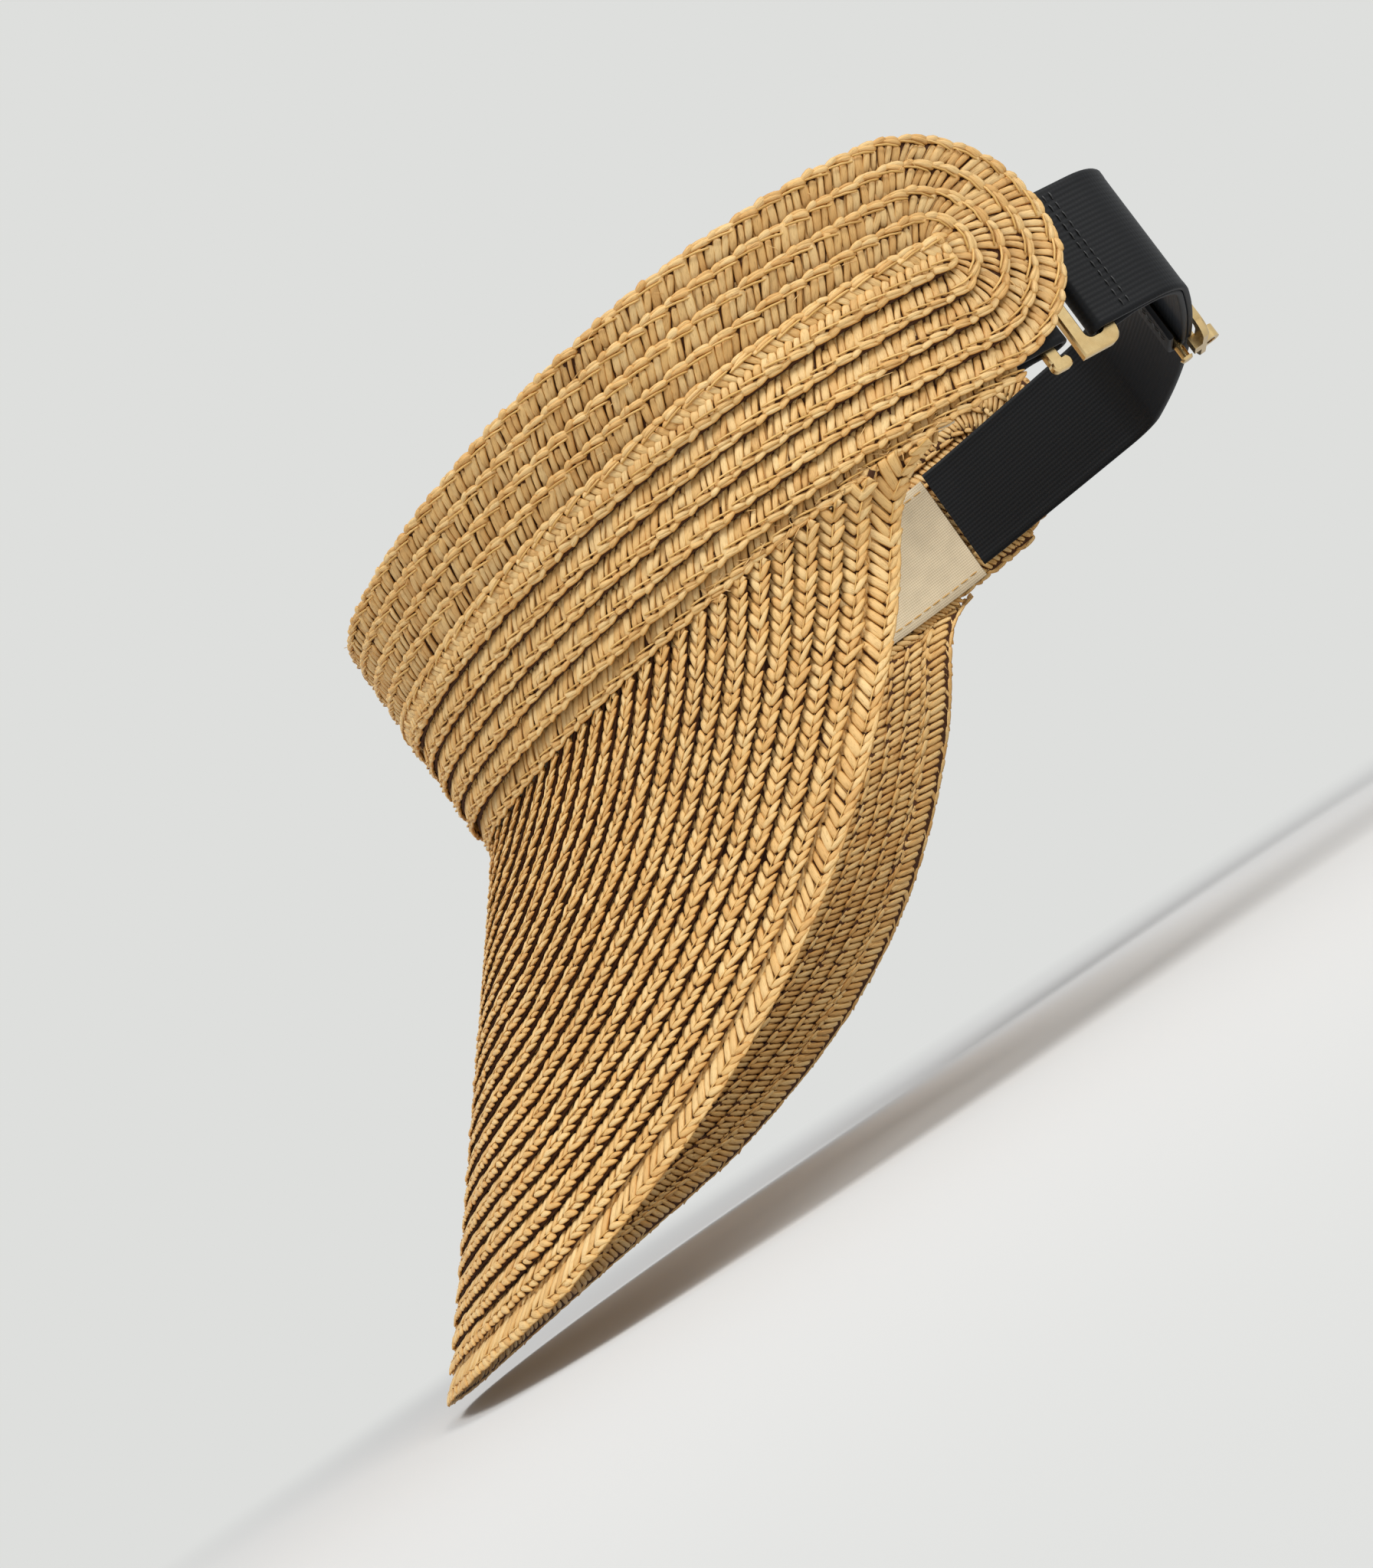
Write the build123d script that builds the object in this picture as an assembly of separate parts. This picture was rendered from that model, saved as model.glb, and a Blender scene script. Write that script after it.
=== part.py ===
from build123d import *
import os
from math import atan, cos, degrees, pi, radians, sin, tan

# A straw sun visor for an adult head: a lapped, hand-sewn braid band, a wide drooping brim of
# braid rows, a cloth sweatband, and an elastic strap with a metal hook and a three-bar slider.
# Millimetres. +Z is up as worn, -Y is the front, +X is the wearer's left. The origin is on the
# head's axis, level with the lowest point of the band's edge.

# ---- Driving dimensions -------------------------------------------------------------------

# Head line: the band's lower edge in plan, from the middle of the front to one end.
front_to_axis = 100.0       # from the head's axis forward to the head line
forehead_radius = 56.0
forehead_angle = 40.0       # degrees of the forehead arc, to each side
temple_radius = 150.0
temple_angle = 34.0
nape_radius = 88.0
nape_angle = 42.0
band_lean = 2.0             # the band's wall opens outwards towards its top, degrees

# Straw braid, and how its rows lap.
braid_width = 8.0
braid_thickness = 1.0
lap_clearance = 0.25        # air between two lapped braids
band_pitch = 5.5            # from one row's edge to the next on the band
band_turns = 4              # closed turns of braid round the centre braid
lower_row_sink = 0.9        # how far the extra lowest row lies below its neighbour
edge_rise = 1.15            # the brim's seam climbs towards the back, degrees
centre_braid_overrun = 3.0  # the centre braid runs on past the start of the round end
lower_row_overrun = 2.0

# Brim.
brim_rows = 24
brim_pitch = 4.9
brim_edge_extra = 1.5       # the outermost row shows this much more of its braid
brim_width = 121.8          # along the brim, at the middle of the front
brim_half_seam = 171.5      # length of seam from the front to the brim's tip
brim_width_power = 1.6      # how long the brim keeps its width from the front
brim_tip_power = 1.34       # how fast it narrows to its tip
brim_slope_front = 53.4     # below the horizontal, degrees
brim_slope_side = 63.5      # how much steeper it gets towards the sides
brim_slope_tip = -80.3      # and how it flattens again at the tips
brim_fan_front = 1.51       # how far the brim's ribs fan out, as a share of the head line's turn
brim_fan_side = 1.16
brim_seat_drop = 1.0        # seam line below the band's edge
brim_seat_inset = 1.3       # seam line inside the head line
brim_stations = 25          # cross-sections that each brim row is drawn through
brim_station_power = 1.2    # crowds the stations towards the front, where the brim turns most

# Sweatband, against the inside of the band.
sweatband_height = 34.0
sweatband_thickness = 0.8
sweatband_foot = 1.0        # its lower edge above the head line
sweatband_end_gap = 14.0    # stops this short of the band's round ends' centres
seat_clearance = 0.3        # air between sewn pieces

# Elastic strap and the tab that the hook catches.
webbing_width = 30.0
webbing_thickness = 1.2
layer_gap = 0.15            # air between two layers of webbing
strap_height = 21.0         # the strap's centre line above the head line
sewn_length = 12.0          # webbing sewn inside each end of the band
strap_straight = 38.0       # from the round end's centre to the strap's corner
strap_corner_radius = 14.0
strap_back_heading = 170.0  # direction of the strap where its back arc starts, degrees
strap_tail = 9.0            # free end beyond the slider's bar
tab_width = 28.0
tab_seam_length = 10.0
layer_bend_radius = 6.0     # where a layer leaves or joins its neighbour

# Metal hook: a plate with a closed slot for the strap and an open one for the tab.
hook_thickness = 1.8
hook_bar = 3.0
hook_rail = 3.2
hook_open_slot = 4.2
hook_closed_slot = 4.0
hook_start = 10.8           # front edge, from the round end's centre
hook_corner = 3.0
hook_foot = 1.6             # the free bar's foot reaches this far into the open slot
hook_foot_height = 2.6
hook_clearance = 0.3        # between metal and webbing
hook_edge_bevel = 0.35
hook_slot_round = 1.2

# Three-bar slider on the back of the strap.
slider_length = 20.0
slider_thickness = 1.6
slider_rail = 3.0
slider_bar_width = 3.5
slider_corner = 4.0
slider_place = 10.0         # its centre, left of the back's middle
slider_pin_radius = 1.0
slider_ear_radius = 2.0
slider_head_radius = 1.5
slider_head_height = 0.6
pin_clearance = 0.05
slider_edge_bevel = 0.4
slider_window_round = 1.5

# ---- Worked out from the driving dimensions -------------------------------------------------

lap_rise = braid_thickness + lap_clearance
half_braid = braid_width / 2
round_end_radius = half_braid + band_turns * band_pitch
centre_height = round_end_radius + band_pitch
end_heading = forehead_angle + temple_angle + nape_angle
band_drop = lap_rise * braid_width / band_pitch
inner_face = -(lower_row_sink + band_drop + braid_thickness / 2)
seat_offset = inner_face - seat_clearance
strap_offset = seat_offset - webbing_thickness / 2
metal_turn_radius = hook_thickness / 2 + hook_clearance + webbing_thickness / 2
hook_offset = strap_offset - metal_turn_radius
layer_pitch = webbing_thickness + layer_gap
UP = Vector(0, 0, 1)


# ---- The head line ----------------------------------------------------------------------

def heading(angle):
    return Vector(cos(radians(angle)), sin(radians(angle)), 0)


def outward(angle):
    """Unit vector that points away from the head where the head line runs at this angle."""
    return Vector(sin(radians(angle)), -cos(radians(angle)), 0)


def head_arcs():
    """The left half of the head line, as (start point, start angle, radius, angle) arcs."""
    arcs = []
    point, angle = Vector(0, -front_to_axis, 0), 0.0
    for radius, turn in [(forehead_radius, forehead_angle), (temple_radius, temple_angle),
                         (nape_radius, nape_angle)]:
        arcs.append((point, angle, radius, turn))
        point = point + (outward(angle + turn) - outward(angle)) * radius
        angle += turn
    return arcs, point


ARCS, ROUND_END = head_arcs()
TO_BACK = heading(end_heading)
OUT_END = outward(end_heading)


def head_line(distance):
    """Point and direction angle on the head line, this far from the middle of the front."""
    left = abs(distance)
    for start, angle, radius, turn in ARCS:
        length = radius * radians(turn)
        if left <= length:
            break
        left -= length
    else:
        start, angle, radius = ROUND_END, end_heading, None
    if radius is None:
        point, angle = start + heading(angle) * left, angle
    else:
        swept = degrees(left / radius)
        point = start + (outward(angle + swept) - outward(angle)) * radius
        angle += swept
    if distance < 0:
        return Vector(-point.X, point.Y, 0), -angle
    return point, angle


def seam_height(point):
    """The brim's seam climbs evenly from the front."""
    return (point.Y + front_to_axis) * tan(radians(edge_rise))


# ---- Band -------------------------------------------------------------------------------

def wall_point(base, out, across, depth):
    """A point on the leaning wall: across is up from the centre braid, depth is outwards."""
    lean = radians(band_lean)
    off = centre_height * tan(lean) + across * sin(lean) + depth * cos(lean)
    return base + out * off + UP * (centre_height + across * cos(lean) - depth * sin(lean))


def section_face(base, out, section):
    points = [wall_point(base, out, across, depth) for across, depth in section]
    return Face(Wire.make_polygon(points, close=True))


def run_round_head(section, overrun=0.0):
    """Carries a cross-section round the head line, and straight on for overrun at both ends."""
    pieces = []
    for start, angle, radius, turn in ARCS:
        centre = start - outward(angle) * radius
        first, sweep_angle = (angle, turn) if angle else (-turn, 2 * turn)
        base = centre + outward(first) * radius
        face = section_face(base, outward(first), section)
        arc = revolve(face, Axis(centre, UP), sweep_angle)
        pieces.append(arc)
        if angle:
            pieces.append(mirror(arc, about=Plane.YZ))
    if overrun:
        stub = extrude(section_face(ROUND_END, OUT_END, section), amount=overrun, dir=TO_BACK)
        pieces += [stub, mirror(stub, about=Plane.YZ)]
    return pieces


def turn_round_end(section):
    """Carries a cross-section half a turn round the centre of the band's flat round end."""
    face = section_face(ROUND_END, OUT_END, section)
    centre = wall_point(ROUND_END, OUT_END, 0, 0)
    wall_normal = wall_point(ROUND_END, OUT_END, 0, 1) - centre
    half_turn = revolve(face, Axis(centre, wall_normal * -1), 180)
    return [half_turn, mirror(half_turn, about=Plane.YZ)]


def join(pieces):
    """One solid from lengths that meet end to end: the shared end faces go, the skins are sewn."""
    faces = [face for piece in pieces for face in piece.faces()]

    def is_shared(face):
        middle = face.center()
        return sum((other.center() - middle).length < 0.001 and abs(other.area - face.area) < 0.001
                   for other in faces) > 1

    return Solid(Shell([face for face in faces if not is_shared(face)]))


def braid_section(edge, side, sink=0.0):
    """A tilted braid whose outer edge is this far from the centre line, above (1) or below (-1).

    The edge lies on top of the next row out, and the other edge is tucked under the row within.
    """
    half = braid_thickness / 2
    outer, inner = -sink, -sink - band_drop
    corners = [(edge, outer - half), (edge, outer + half),
               (edge - braid_width, inner + half), (edge - braid_width, inner - half)]
    return [(side * across, depth) for across, depth in corners]


def centre_braid():
    half = braid_thickness / 2
    section = [(-half_braid, -half), (half_braid, -half), (half_braid, half), (-half_braid, half)]
    return join(run_round_head(section, centre_braid_overrun))


def band_turn(number):
    edge = half_braid + number * band_pitch
    pieces = run_round_head(braid_section(edge, 1)) + run_round_head(braid_section(edge, -1))
    return join(pieces + turn_round_end(braid_section(edge, 1)))


def lower_row():
    """The extra row below the last turn, which the seam lifts towards its loose ends."""
    edge = half_braid + (band_turns + 1) * band_pitch
    row = join(run_round_head(braid_section(edge, -1, lower_row_sink), lower_row_overrun))
    return row.rotate(Axis((0, -front_to_axis, 0), (1, 0, 0)), edge_rise)


# ---- Brim -------------------------------------------------------------------------------

def brim_reach(distance):
    """Width of the brim along its rib, at this distance along the seam."""
    share = min(abs(distance) / brim_half_seam, 1.0)
    return brim_width * (1 - share ** brim_width_power) ** brim_tip_power


def seam_where_reach(reach):
    """Distance along the seam at which the brim is this wide."""
    share = 1 - min(reach / brim_width, 1.0) ** (1 / brim_tip_power)
    return brim_half_seam * share ** (1 / brim_width_power)


def brim_rib(distance):
    """Root point and direction of the straight rib that leaves the seam at this distance."""
    point, angle = head_line(distance)
    share = abs(distance) / brim_half_seam
    fan = angle * (brim_fan_front + brim_fan_side * share ** 2)
    slope = radians(brim_slope_front + brim_slope_side * share ** 2 + brim_slope_tip * share ** 4)
    root = point - outward(angle) * brim_seat_inset + UP * (seam_height(point) - brim_seat_drop)
    return root, outward(fan) * cos(slope) - UP * sin(slope)


def brim_point(distance, from_edge):
    """A point on the brim's middle surface, this far in from its outer edge."""
    root, rib = brim_rib(distance)
    return root + rib * (brim_reach(distance) - from_edge)


def brim_normal(distance, from_edge):
    """Unit normal of the brim's upper side there."""
    step = 0.5
    along = brim_point(distance + step, from_edge) - brim_point(distance - step, from_edge)
    return brim_rib(distance)[1].cross(along).normalized()


def row_edge(number):
    """Distance of a row's outer edge from the brim's edge."""
    return brim_edge_extra + number * brim_pitch if number else 0.0


def brim_row(number):
    """One row of braid, lofted along the brim from seam to seam.

    Its outer edge lies on the next row out, and its inner edge is tucked under the next row in.
    Both ends are cut along the seam.
    """
    outer = row_edge(number)
    inner = min(outer + braid_width, brim_width - brim_seat_drop)
    shown = row_edge(number + 1) - outer
    drop = lap_rise * (inner - outer) / shown
    sections = []
    for station in range(brim_stations):
        u = 2 * station / (brim_stations - 1) - 1
        share = abs(u) ** brim_station_power * (1 if u > 0 else -1)
        end = station in (0, brim_stations - 1)
        at_outer = share * seam_where_reach(outer)
        at_inner = share * seam_where_reach(inner)
        middle = brim_normal((at_outer + at_inner) / 2, (outer + inner) / 2)
        up_outer = middle if end else brim_normal(at_outer, outer)
        up_inner = middle if end else brim_normal(at_inner, inner)
        top, half = lap_rise / 2, braid_thickness / 2
        edge_point, tuck_point = brim_point(at_outer, outer), brim_point(at_inner, inner)
        corners = [edge_point + up_outer * (top - half), edge_point + up_outer * (top + half),
                   tuck_point + up_inner * (top - drop + half),
                   tuck_point + up_inner * (top - drop - half)]
        sections.append(Wire.make_polygon(corners, close=True))
    return Solid.make_loft(sections)


# ---- Sweatband --------------------------------------------------------------------------

def sweatband():
    """A cloth band inside the straw, cut square at both ends."""
    outer, inner = seat_offset, seat_offset - sweatband_thickness
    low, high = sweatband_foot, sweatband_foot + sweatband_height
    pieces = []
    for start, angle, radius, turn in ARCS:
        centre = start - outward(angle) * radius
        if angle + turn == end_heading:
            turn -= degrees(sweatband_end_gap / radius)
        first, sweep_angle = (angle, turn) if angle else (-turn, 2 * turn)
        out = outward(first)
        base = centre + out * radius
        corners = [base + out * off + UP * height
                   for off, height in [(outer, low), (outer, high), (inner, high), (inner, low)]]
        arc = revolve(Face(Wire.make_polygon(corners, close=True)), Axis(centre, UP), sweep_angle)
        pieces.append(arc)
        if angle:
            pieces.append(mirror(arc, about=Plane.YZ))
    return join(pieces)


# ---- Webbing ----------------------------------------------------------------------------

def webbing(start, angle, runs, low, high):
    """Flat webbing stood on edge, along straight runs and tangent arcs.

    A run is (length, 0) or (radius, turn), where a positive turn in degrees goes to the left.
    """
    half = webbing_thickness / 2
    left, right = [], []
    point = start
    for size, turn in runs:
        side = outward(angle) * -1
        if turn == 0:
            end = point + heading(angle) * size
            left.append(Line(point + side * half, end + side * half))
            right.append(Line(point - side * half, end - side * half))
        else:
            bend = 1 if turn > 0 else -1
            centre = point + side * size * bend

            def arc(radius):
                first, middle, last = (centre - (outward(angle + turn * part) * -1) * radius * bend
                                       for part in (0, 0.5, 1))
                return ThreePointArc(first, middle, last)

            left.append(arc(size - half * bend))
            right.append(arc(size + half * bend))
            angle += turn
            end = centre - outward(angle) * -1 * size * bend
        point = end
    caps = [Line(left[0] @ 0, right[0] @ 0), Line(left[-1] @ 1, right[-1] @ 1)]
    outline = Wire([*left, *right, *caps])
    return extrude(Face(outline).moved(Location((0, 0, low))), amount=high - low, dir=UP)


def bend_angle(shift):
    """Turn of each half of an S-bend of the layer bend radius that moves a layer sideways."""
    return degrees(2 * atan((shift / (4 * layer_bend_radius)) ** 0.5 /
                            (1 - shift / (4 * layer_bend_radius)) ** 0.5))


def end_place(along, offset):
    """A point in plan beside the left round end, along the band and outwards from it."""
    return ROUND_END + TO_BACK * along + OUT_END * offset


SEWN_RADIUS = nape_radius + strap_offset
SEWN_ANGLE = degrees(sewn_length / SEWN_RADIUS)
SEWN_START = end_place(0, strap_offset) + (outward(end_heading - SEWN_ANGLE) - OUT_END) * SEWN_RADIUS
STRAP_CORNER = strap_back_heading - end_heading
BACK_HALF_ANGLE = 180 - strap_back_heading
CORNER_START = end_place(strap_straight, strap_offset)
CORNER_END = CORNER_START + (outward(strap_back_heading) - OUT_END) * strap_corner_radius
BACK_RADIUS = CORNER_END.X / sin(radians(BACK_HALF_ANGLE))
BACK_CENTRE = CORNER_END - outward(strap_back_heading) * BACK_RADIUS
SLIDER_ANGLE = degrees(slider_place / BACK_RADIUS)
REAR_BAR = hook_start + 2 * hook_bar + hook_open_slot + hook_closed_slot


def strap():
    """One length of elastic: sewn in on the right, round the back, round the hook's rear bar,
    and back along its own inside to the slider's pin, where its end turns back on itself."""
    turn_from = strap_straight - REAR_BAR
    shift = 2 * metal_turn_radius - layer_pitch
    bend = bend_angle(shift)
    bend_length = 2 * layer_bend_radius * sin(radians(bend))
    inner_back = BACK_HALF_ANGLE - SLIDER_ANGLE
    pin_turn_radius = slider_pin_radius + layer_gap + webbing_thickness / 2
    start = Vector(-SEWN_START.X, SEWN_START.Y, 0)
    runs = [(SEWN_RADIUS, -SEWN_ANGLE),
            (strap_straight, 0),
            (strap_corner_radius, -STRAP_CORNER),
            (BACK_RADIUS, -2 * BACK_HALF_ANGLE),
            (strap_corner_radius, -STRAP_CORNER),
            (turn_from, 0),
            (metal_turn_radius, -180),
            (hook_bar, 0),
            (layer_bend_radius, -bend),
            (layer_bend_radius, bend),
            (turn_from - hook_bar - bend_length, 0),
            (strap_corner_radius - layer_pitch, STRAP_CORNER),
            (BACK_RADIUS - layer_pitch, inner_back),
            (pin_turn_radius, 180),
            (strap_tail, 0)]
    return webbing(start, 180 - end_heading + SEWN_ANGLE, runs, strap_height - webbing_width / 2,
                   strap_height + webbing_width / 2)


def end_tab():
    """A folded loop of the same webbing, sewn inside the left end, round the hook's free bar."""
    fold = hook_start + hook_bar + hook_foot + hook_clearance - webbing_thickness / 2
    shift = 2 * metal_turn_radius - layer_pitch
    bend = bend_angle(shift)
    bend_length = 2 * layer_bend_radius * sin(radians(bend))
    fold_centre = fold - metal_turn_radius + webbing_thickness
    clear = fold_centre - hook_start + hook_clearance
    back = fold_centre - clear - bend_length
    runs = [(SEWN_RADIUS, SEWN_ANGLE),
            (fold_centre, 0),
            (metal_turn_radius, 180),
            (clear, 0),
            (layer_bend_radius, -bend),
            (layer_bend_radius, bend),
            (back, 0),
            (SEWN_RADIUS - layer_pitch, -SEWN_ANGLE)]
    return webbing(SEWN_START, end_heading - SEWN_ANGLE, runs,
                   strap_height - tab_width / 2, strap_height + tab_width / 2)


# ---- Metal pieces -----------------------------------------------------------------------

def g_hook():
    """A flat plate: a closed slot behind for the strap, and a free bar in front for the tab."""
    length = 3 * hook_bar + hook_open_slot + hook_closed_slot
    opening = webbing_width + 2 * hook_clearance
    height = opening + 2 * hook_rail
    plane = Plane(origin=end_place(hook_start, hook_offset - hook_thickness / 2) + UP * strap_height,
                  x_dir=TO_BACK, z_dir=OUT_END)
    plate = RectangleRounded(length, height, hook_corner)
    plate = Pos(length / 2, 0) * plate
    closed = RectangleRounded(hook_closed_slot, opening, hook_slot_round)
    plate -= Pos(length - hook_bar - hook_closed_slot / 2, 0) * closed
    open_top = Rectangle(hook_open_slot, height, align=(Align.MIN, Align.MAX))
    plate -= Pos(hook_bar, opening / 2) * open_top
    foot_low = -height / 2
    foot = RectangleRounded(hook_bar + hook_foot, hook_foot_height, hook_slot_round,
                            align=Align.MIN)
    plate += Pos(0, foot_low) * foot
    solid = extrude(plane * plate, amount=hook_thickness)
    flat_edges = solid.edges().filter_by(lambda edge: abs((edge % 0.5).dot(OUT_END)) < 0.01)
    return chamfer(flat_edges, hook_edge_bevel)


def slider_plane(depth):
    """Plane tangent to the back of the strap at the slider, depth outwards from its centre."""
    angle = 180 - SLIDER_ANGLE
    centre = BACK_CENTRE + outward(angle) * (BACK_RADIUS + depth) + UP * strap_height
    return Plane(origin=centre, x_dir=heading(angle), z_dir=outward(angle))


SLIDER_HEIGHT = webbing_width + 2 * hook_clearance + 2 * slider_rail
PIN_DEPTH = -(layer_pitch + slider_pin_radius + layer_gap + webbing_thickness / 2)
EAR_CENTRE = (SLIDER_HEIGHT - slider_rail) / 2


def slider_frame():
    """A framed window outside the strap, with an ear at each rail that holds the pin inside."""
    window = RectangleRounded(slider_length - 2 * slider_bar_width,
                              SLIDER_HEIGHT - 2 * slider_rail, slider_window_round)
    face = RectangleRounded(slider_length, SLIDER_HEIGHT, slider_corner) - window
    low = webbing_thickness / 2 + hook_clearance
    frame = extrude(slider_plane(low) * face, amount=slider_thickness)
    outer_edges = frame.faces().sort_by(Axis(BACK_CENTRE, outward(180 - SLIDER_ANGLE)))[-1].edges()
    frame = chamfer(outer_edges, slider_edge_bevel)
    for side in (1, -1):
        ear_plane = slider_plane(0)
        across = Plane(origin=ear_plane.origin + UP * side * EAR_CENTRE,
                       x_dir=ear_plane.x_dir, z_dir=UP)
        ear = Pos(0, PIN_DEPTH) * Circle(slider_ear_radius)
        stem = Pos(0, (PIN_DEPTH + low) / 2) * Rectangle(2 * slider_ear_radius, low - PIN_DEPTH)
        hole = Pos(0, PIN_DEPTH) * Circle(slider_pin_radius + pin_clearance)
        blank = extrude(across * (ear + stem - hole), amount=slider_rail / 2, both=True)
        frame = frame + blank
    return frame


def slider_bar():
    """A plain pin through both ears, with its ends riveted over."""
    plane = slider_plane(PIN_DEPTH)
    base = Plane(origin=plane.origin, x_dir=plane.x_dir, z_dir=UP)
    pin = extrude(base * Circle(slider_pin_radius), amount=SLIDER_HEIGHT / 2, both=True)
    for side in (1, -1):
        head_plane = Plane(origin=plane.origin + UP * side * SLIDER_HEIGHT / 2,
                           x_dir=plane.x_dir, z_dir=UP * side)
        pin += extrude(head_plane * Circle(slider_head_radius), amount=slider_head_height, taper=25)
    return pin


# ---- Build ------------------------------------------------------------------------------

def build_parts():
    parts = {"band_centre_braid": centre_braid()}
    for number in range(1, band_turns + 1):
        parts[f"band_turn_{number}"] = band_turn(number)
    parts["band_lower_row"] = lower_row()
    for number in range(brim_rows):
        parts[f"brim_row_{number + 1:02d}"] = brim_row(number)
    parts["sweatband"] = sweatband()
    parts["strap"] = strap()
    parts["end_tab"] = end_tab()
    parts["g_hook"] = g_hook()
    parts["slider_frame"] = slider_frame()
    parts["slider_bar"] = slider_bar()
    return parts


os.makedirs("parts", exist_ok=True)
for name, shape in build_parts().items():
    export_step(shape, f"parts/{name}.step")
print("back arc radius", round(BACK_RADIUS, 2), "centre", BACK_CENTRE)
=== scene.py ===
# %% [markdown]
# # A straw sun visor
# The visor is a band of lapped straw braid with a wide brim of 24 more rows, a cloth sweatband,
# and an elastic strap that a metal hook and a slider close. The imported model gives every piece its
# place. It is loaded first, its box is noted, and nothing in it is moved afterwards.

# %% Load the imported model
import math

import bpy
import numpy as np
from mathutils import Matrix, Vector


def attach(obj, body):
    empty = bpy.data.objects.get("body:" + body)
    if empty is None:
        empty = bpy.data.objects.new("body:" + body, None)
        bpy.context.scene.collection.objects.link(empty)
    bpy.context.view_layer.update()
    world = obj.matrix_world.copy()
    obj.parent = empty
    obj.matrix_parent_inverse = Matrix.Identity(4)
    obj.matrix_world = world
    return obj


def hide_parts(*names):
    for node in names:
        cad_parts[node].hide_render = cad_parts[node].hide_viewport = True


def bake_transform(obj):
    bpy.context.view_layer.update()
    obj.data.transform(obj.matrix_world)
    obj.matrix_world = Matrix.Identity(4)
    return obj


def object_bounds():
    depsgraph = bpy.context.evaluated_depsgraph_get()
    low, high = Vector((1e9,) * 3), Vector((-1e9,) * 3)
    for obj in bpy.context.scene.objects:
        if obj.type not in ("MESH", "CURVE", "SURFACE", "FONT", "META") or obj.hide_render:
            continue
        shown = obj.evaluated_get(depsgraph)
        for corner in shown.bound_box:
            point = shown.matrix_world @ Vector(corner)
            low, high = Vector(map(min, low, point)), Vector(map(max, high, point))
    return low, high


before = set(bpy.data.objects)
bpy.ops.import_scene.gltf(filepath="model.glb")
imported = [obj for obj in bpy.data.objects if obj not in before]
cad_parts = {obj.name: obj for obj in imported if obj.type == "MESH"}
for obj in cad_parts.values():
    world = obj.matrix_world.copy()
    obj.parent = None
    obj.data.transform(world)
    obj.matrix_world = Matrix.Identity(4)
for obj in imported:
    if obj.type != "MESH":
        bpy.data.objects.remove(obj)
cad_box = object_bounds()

MM = 0.001
print("box of the solids in mm:", [[round(v * 1000, 1) for v in corner] for corner in cad_box])

# %% [markdown]
# ## The camera
# The visor is seen from its left side and from a little below, leaning back by about a third of a
# right angle. A camera can be turned with three angles, but a place, a point to look at and a roll
# are easier to read, so the matrix is built from those.

# %% Camera
def into_scene(name, data):
    thing = bpy.data.objects.new(name, data)
    bpy.context.scene.collection.objects.link(thing)
    return thing


camera_place = Vector((0.4084, 0.0012, -0.0779))
camera_target = Vector((0.0, -0.0533, -0.0100))
camera_roll = 33.5

forward = (camera_target - camera_place).normalized()
level_right = forward.cross(Vector((0, 0, 1))).normalized()
level_up = level_right.cross(forward)
roll = math.radians(camera_roll)
right = level_right * math.cos(roll) - level_up * math.sin(roll)
up = level_right * math.sin(roll) + level_up * math.cos(roll)

camera_data = bpy.data.cameras.new("camera")
camera_data.lens_unit = "MILLIMETERS"
camera_data.sensor_fit = "VERTICAL"
camera_data.sensor_height = 36.0
camera_data.lens = 41.5
camera_data.clip_start = 0.01
camera_data.clip_end = 20.0
camera = into_scene("camera", camera_data)
turned = Matrix((right, up, -forward)).transposed().to_4x4()
camera.matrix_world = Matrix.Translation(camera_place) @ turned
bpy.context.scene.camera = camera
bpy.context.scene.view_settings.view_transform = "Standard"
print("camera to target:", round((camera_target - camera_place).length, 3), "m")

# %% [markdown]
# ## Helpers for nodes
# Each finish below is a small tree of nodes. These helpers add a node, set its sockets and join
# it, so that each finish can be read from top to bottom.

# %% Node helpers
WHITE = (1.0, 1.0, 1.0, 1.0)


def new_material(name):
    material = bpy.data.materials.new(name)
    material.use_nodes = True
    tree = material.node_tree
    tree.nodes.clear()
    return material, tree


def add_node(tree, kind, settings=(), **sockets):
    """A node with its settings, and a value or a link for each socket given. A socket goes by its
    name, with _ for a space, or by its number, as in0, in1 and so on."""
    node = tree.nodes.new(kind)
    for key, value in dict(settings).items():
        setattr(node, key, value)
    for key, value in sockets.items():
        numbered = key.startswith("in") and key[2:].isdigit()
        socket = node.inputs[int(key[2:]) if numbered else key.replace("_", " ")]
        if isinstance(value, bpy.types.NodeSocket):
            tree.links.new(value, socket)
        else:
            socket.default_value = value
    return node


def finish_material(tree, shader):
    add_node(tree, "ShaderNodeOutputMaterial", Surface=shader.outputs[0])


print("node helpers are ready")

# %% [markdown]
# ## Helpers for colours and patterns
# Colours are written with the 0 to 255 values that a screen shows, because those are easy to read,
# and are turned into the linear values that nodes use. The rest are the few nodes that every
# finish needs: a noise, a ramp of colours, a multiplication, a new range and a bump.

# %% Colour and pattern helpers
def colour(red, green, blue):
    def linear(level):
        level /= 255
        return level / 12.92 if level <= 0.04045 else ((level + 0.055) / 1.055) ** 2.4
    return (linear(red), linear(green), linear(blue), 1.0)


def object_place(tree):
    return add_node(tree, "ShaderNodeTexCoord").outputs["Object"]


def noise(tree, place, scale, detail, roughness=0.5):
    return add_node(tree, "ShaderNodeTexNoise", Vector=place, Scale=scale, Detail=detail,
                    Roughness=roughness).outputs[0]


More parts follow.
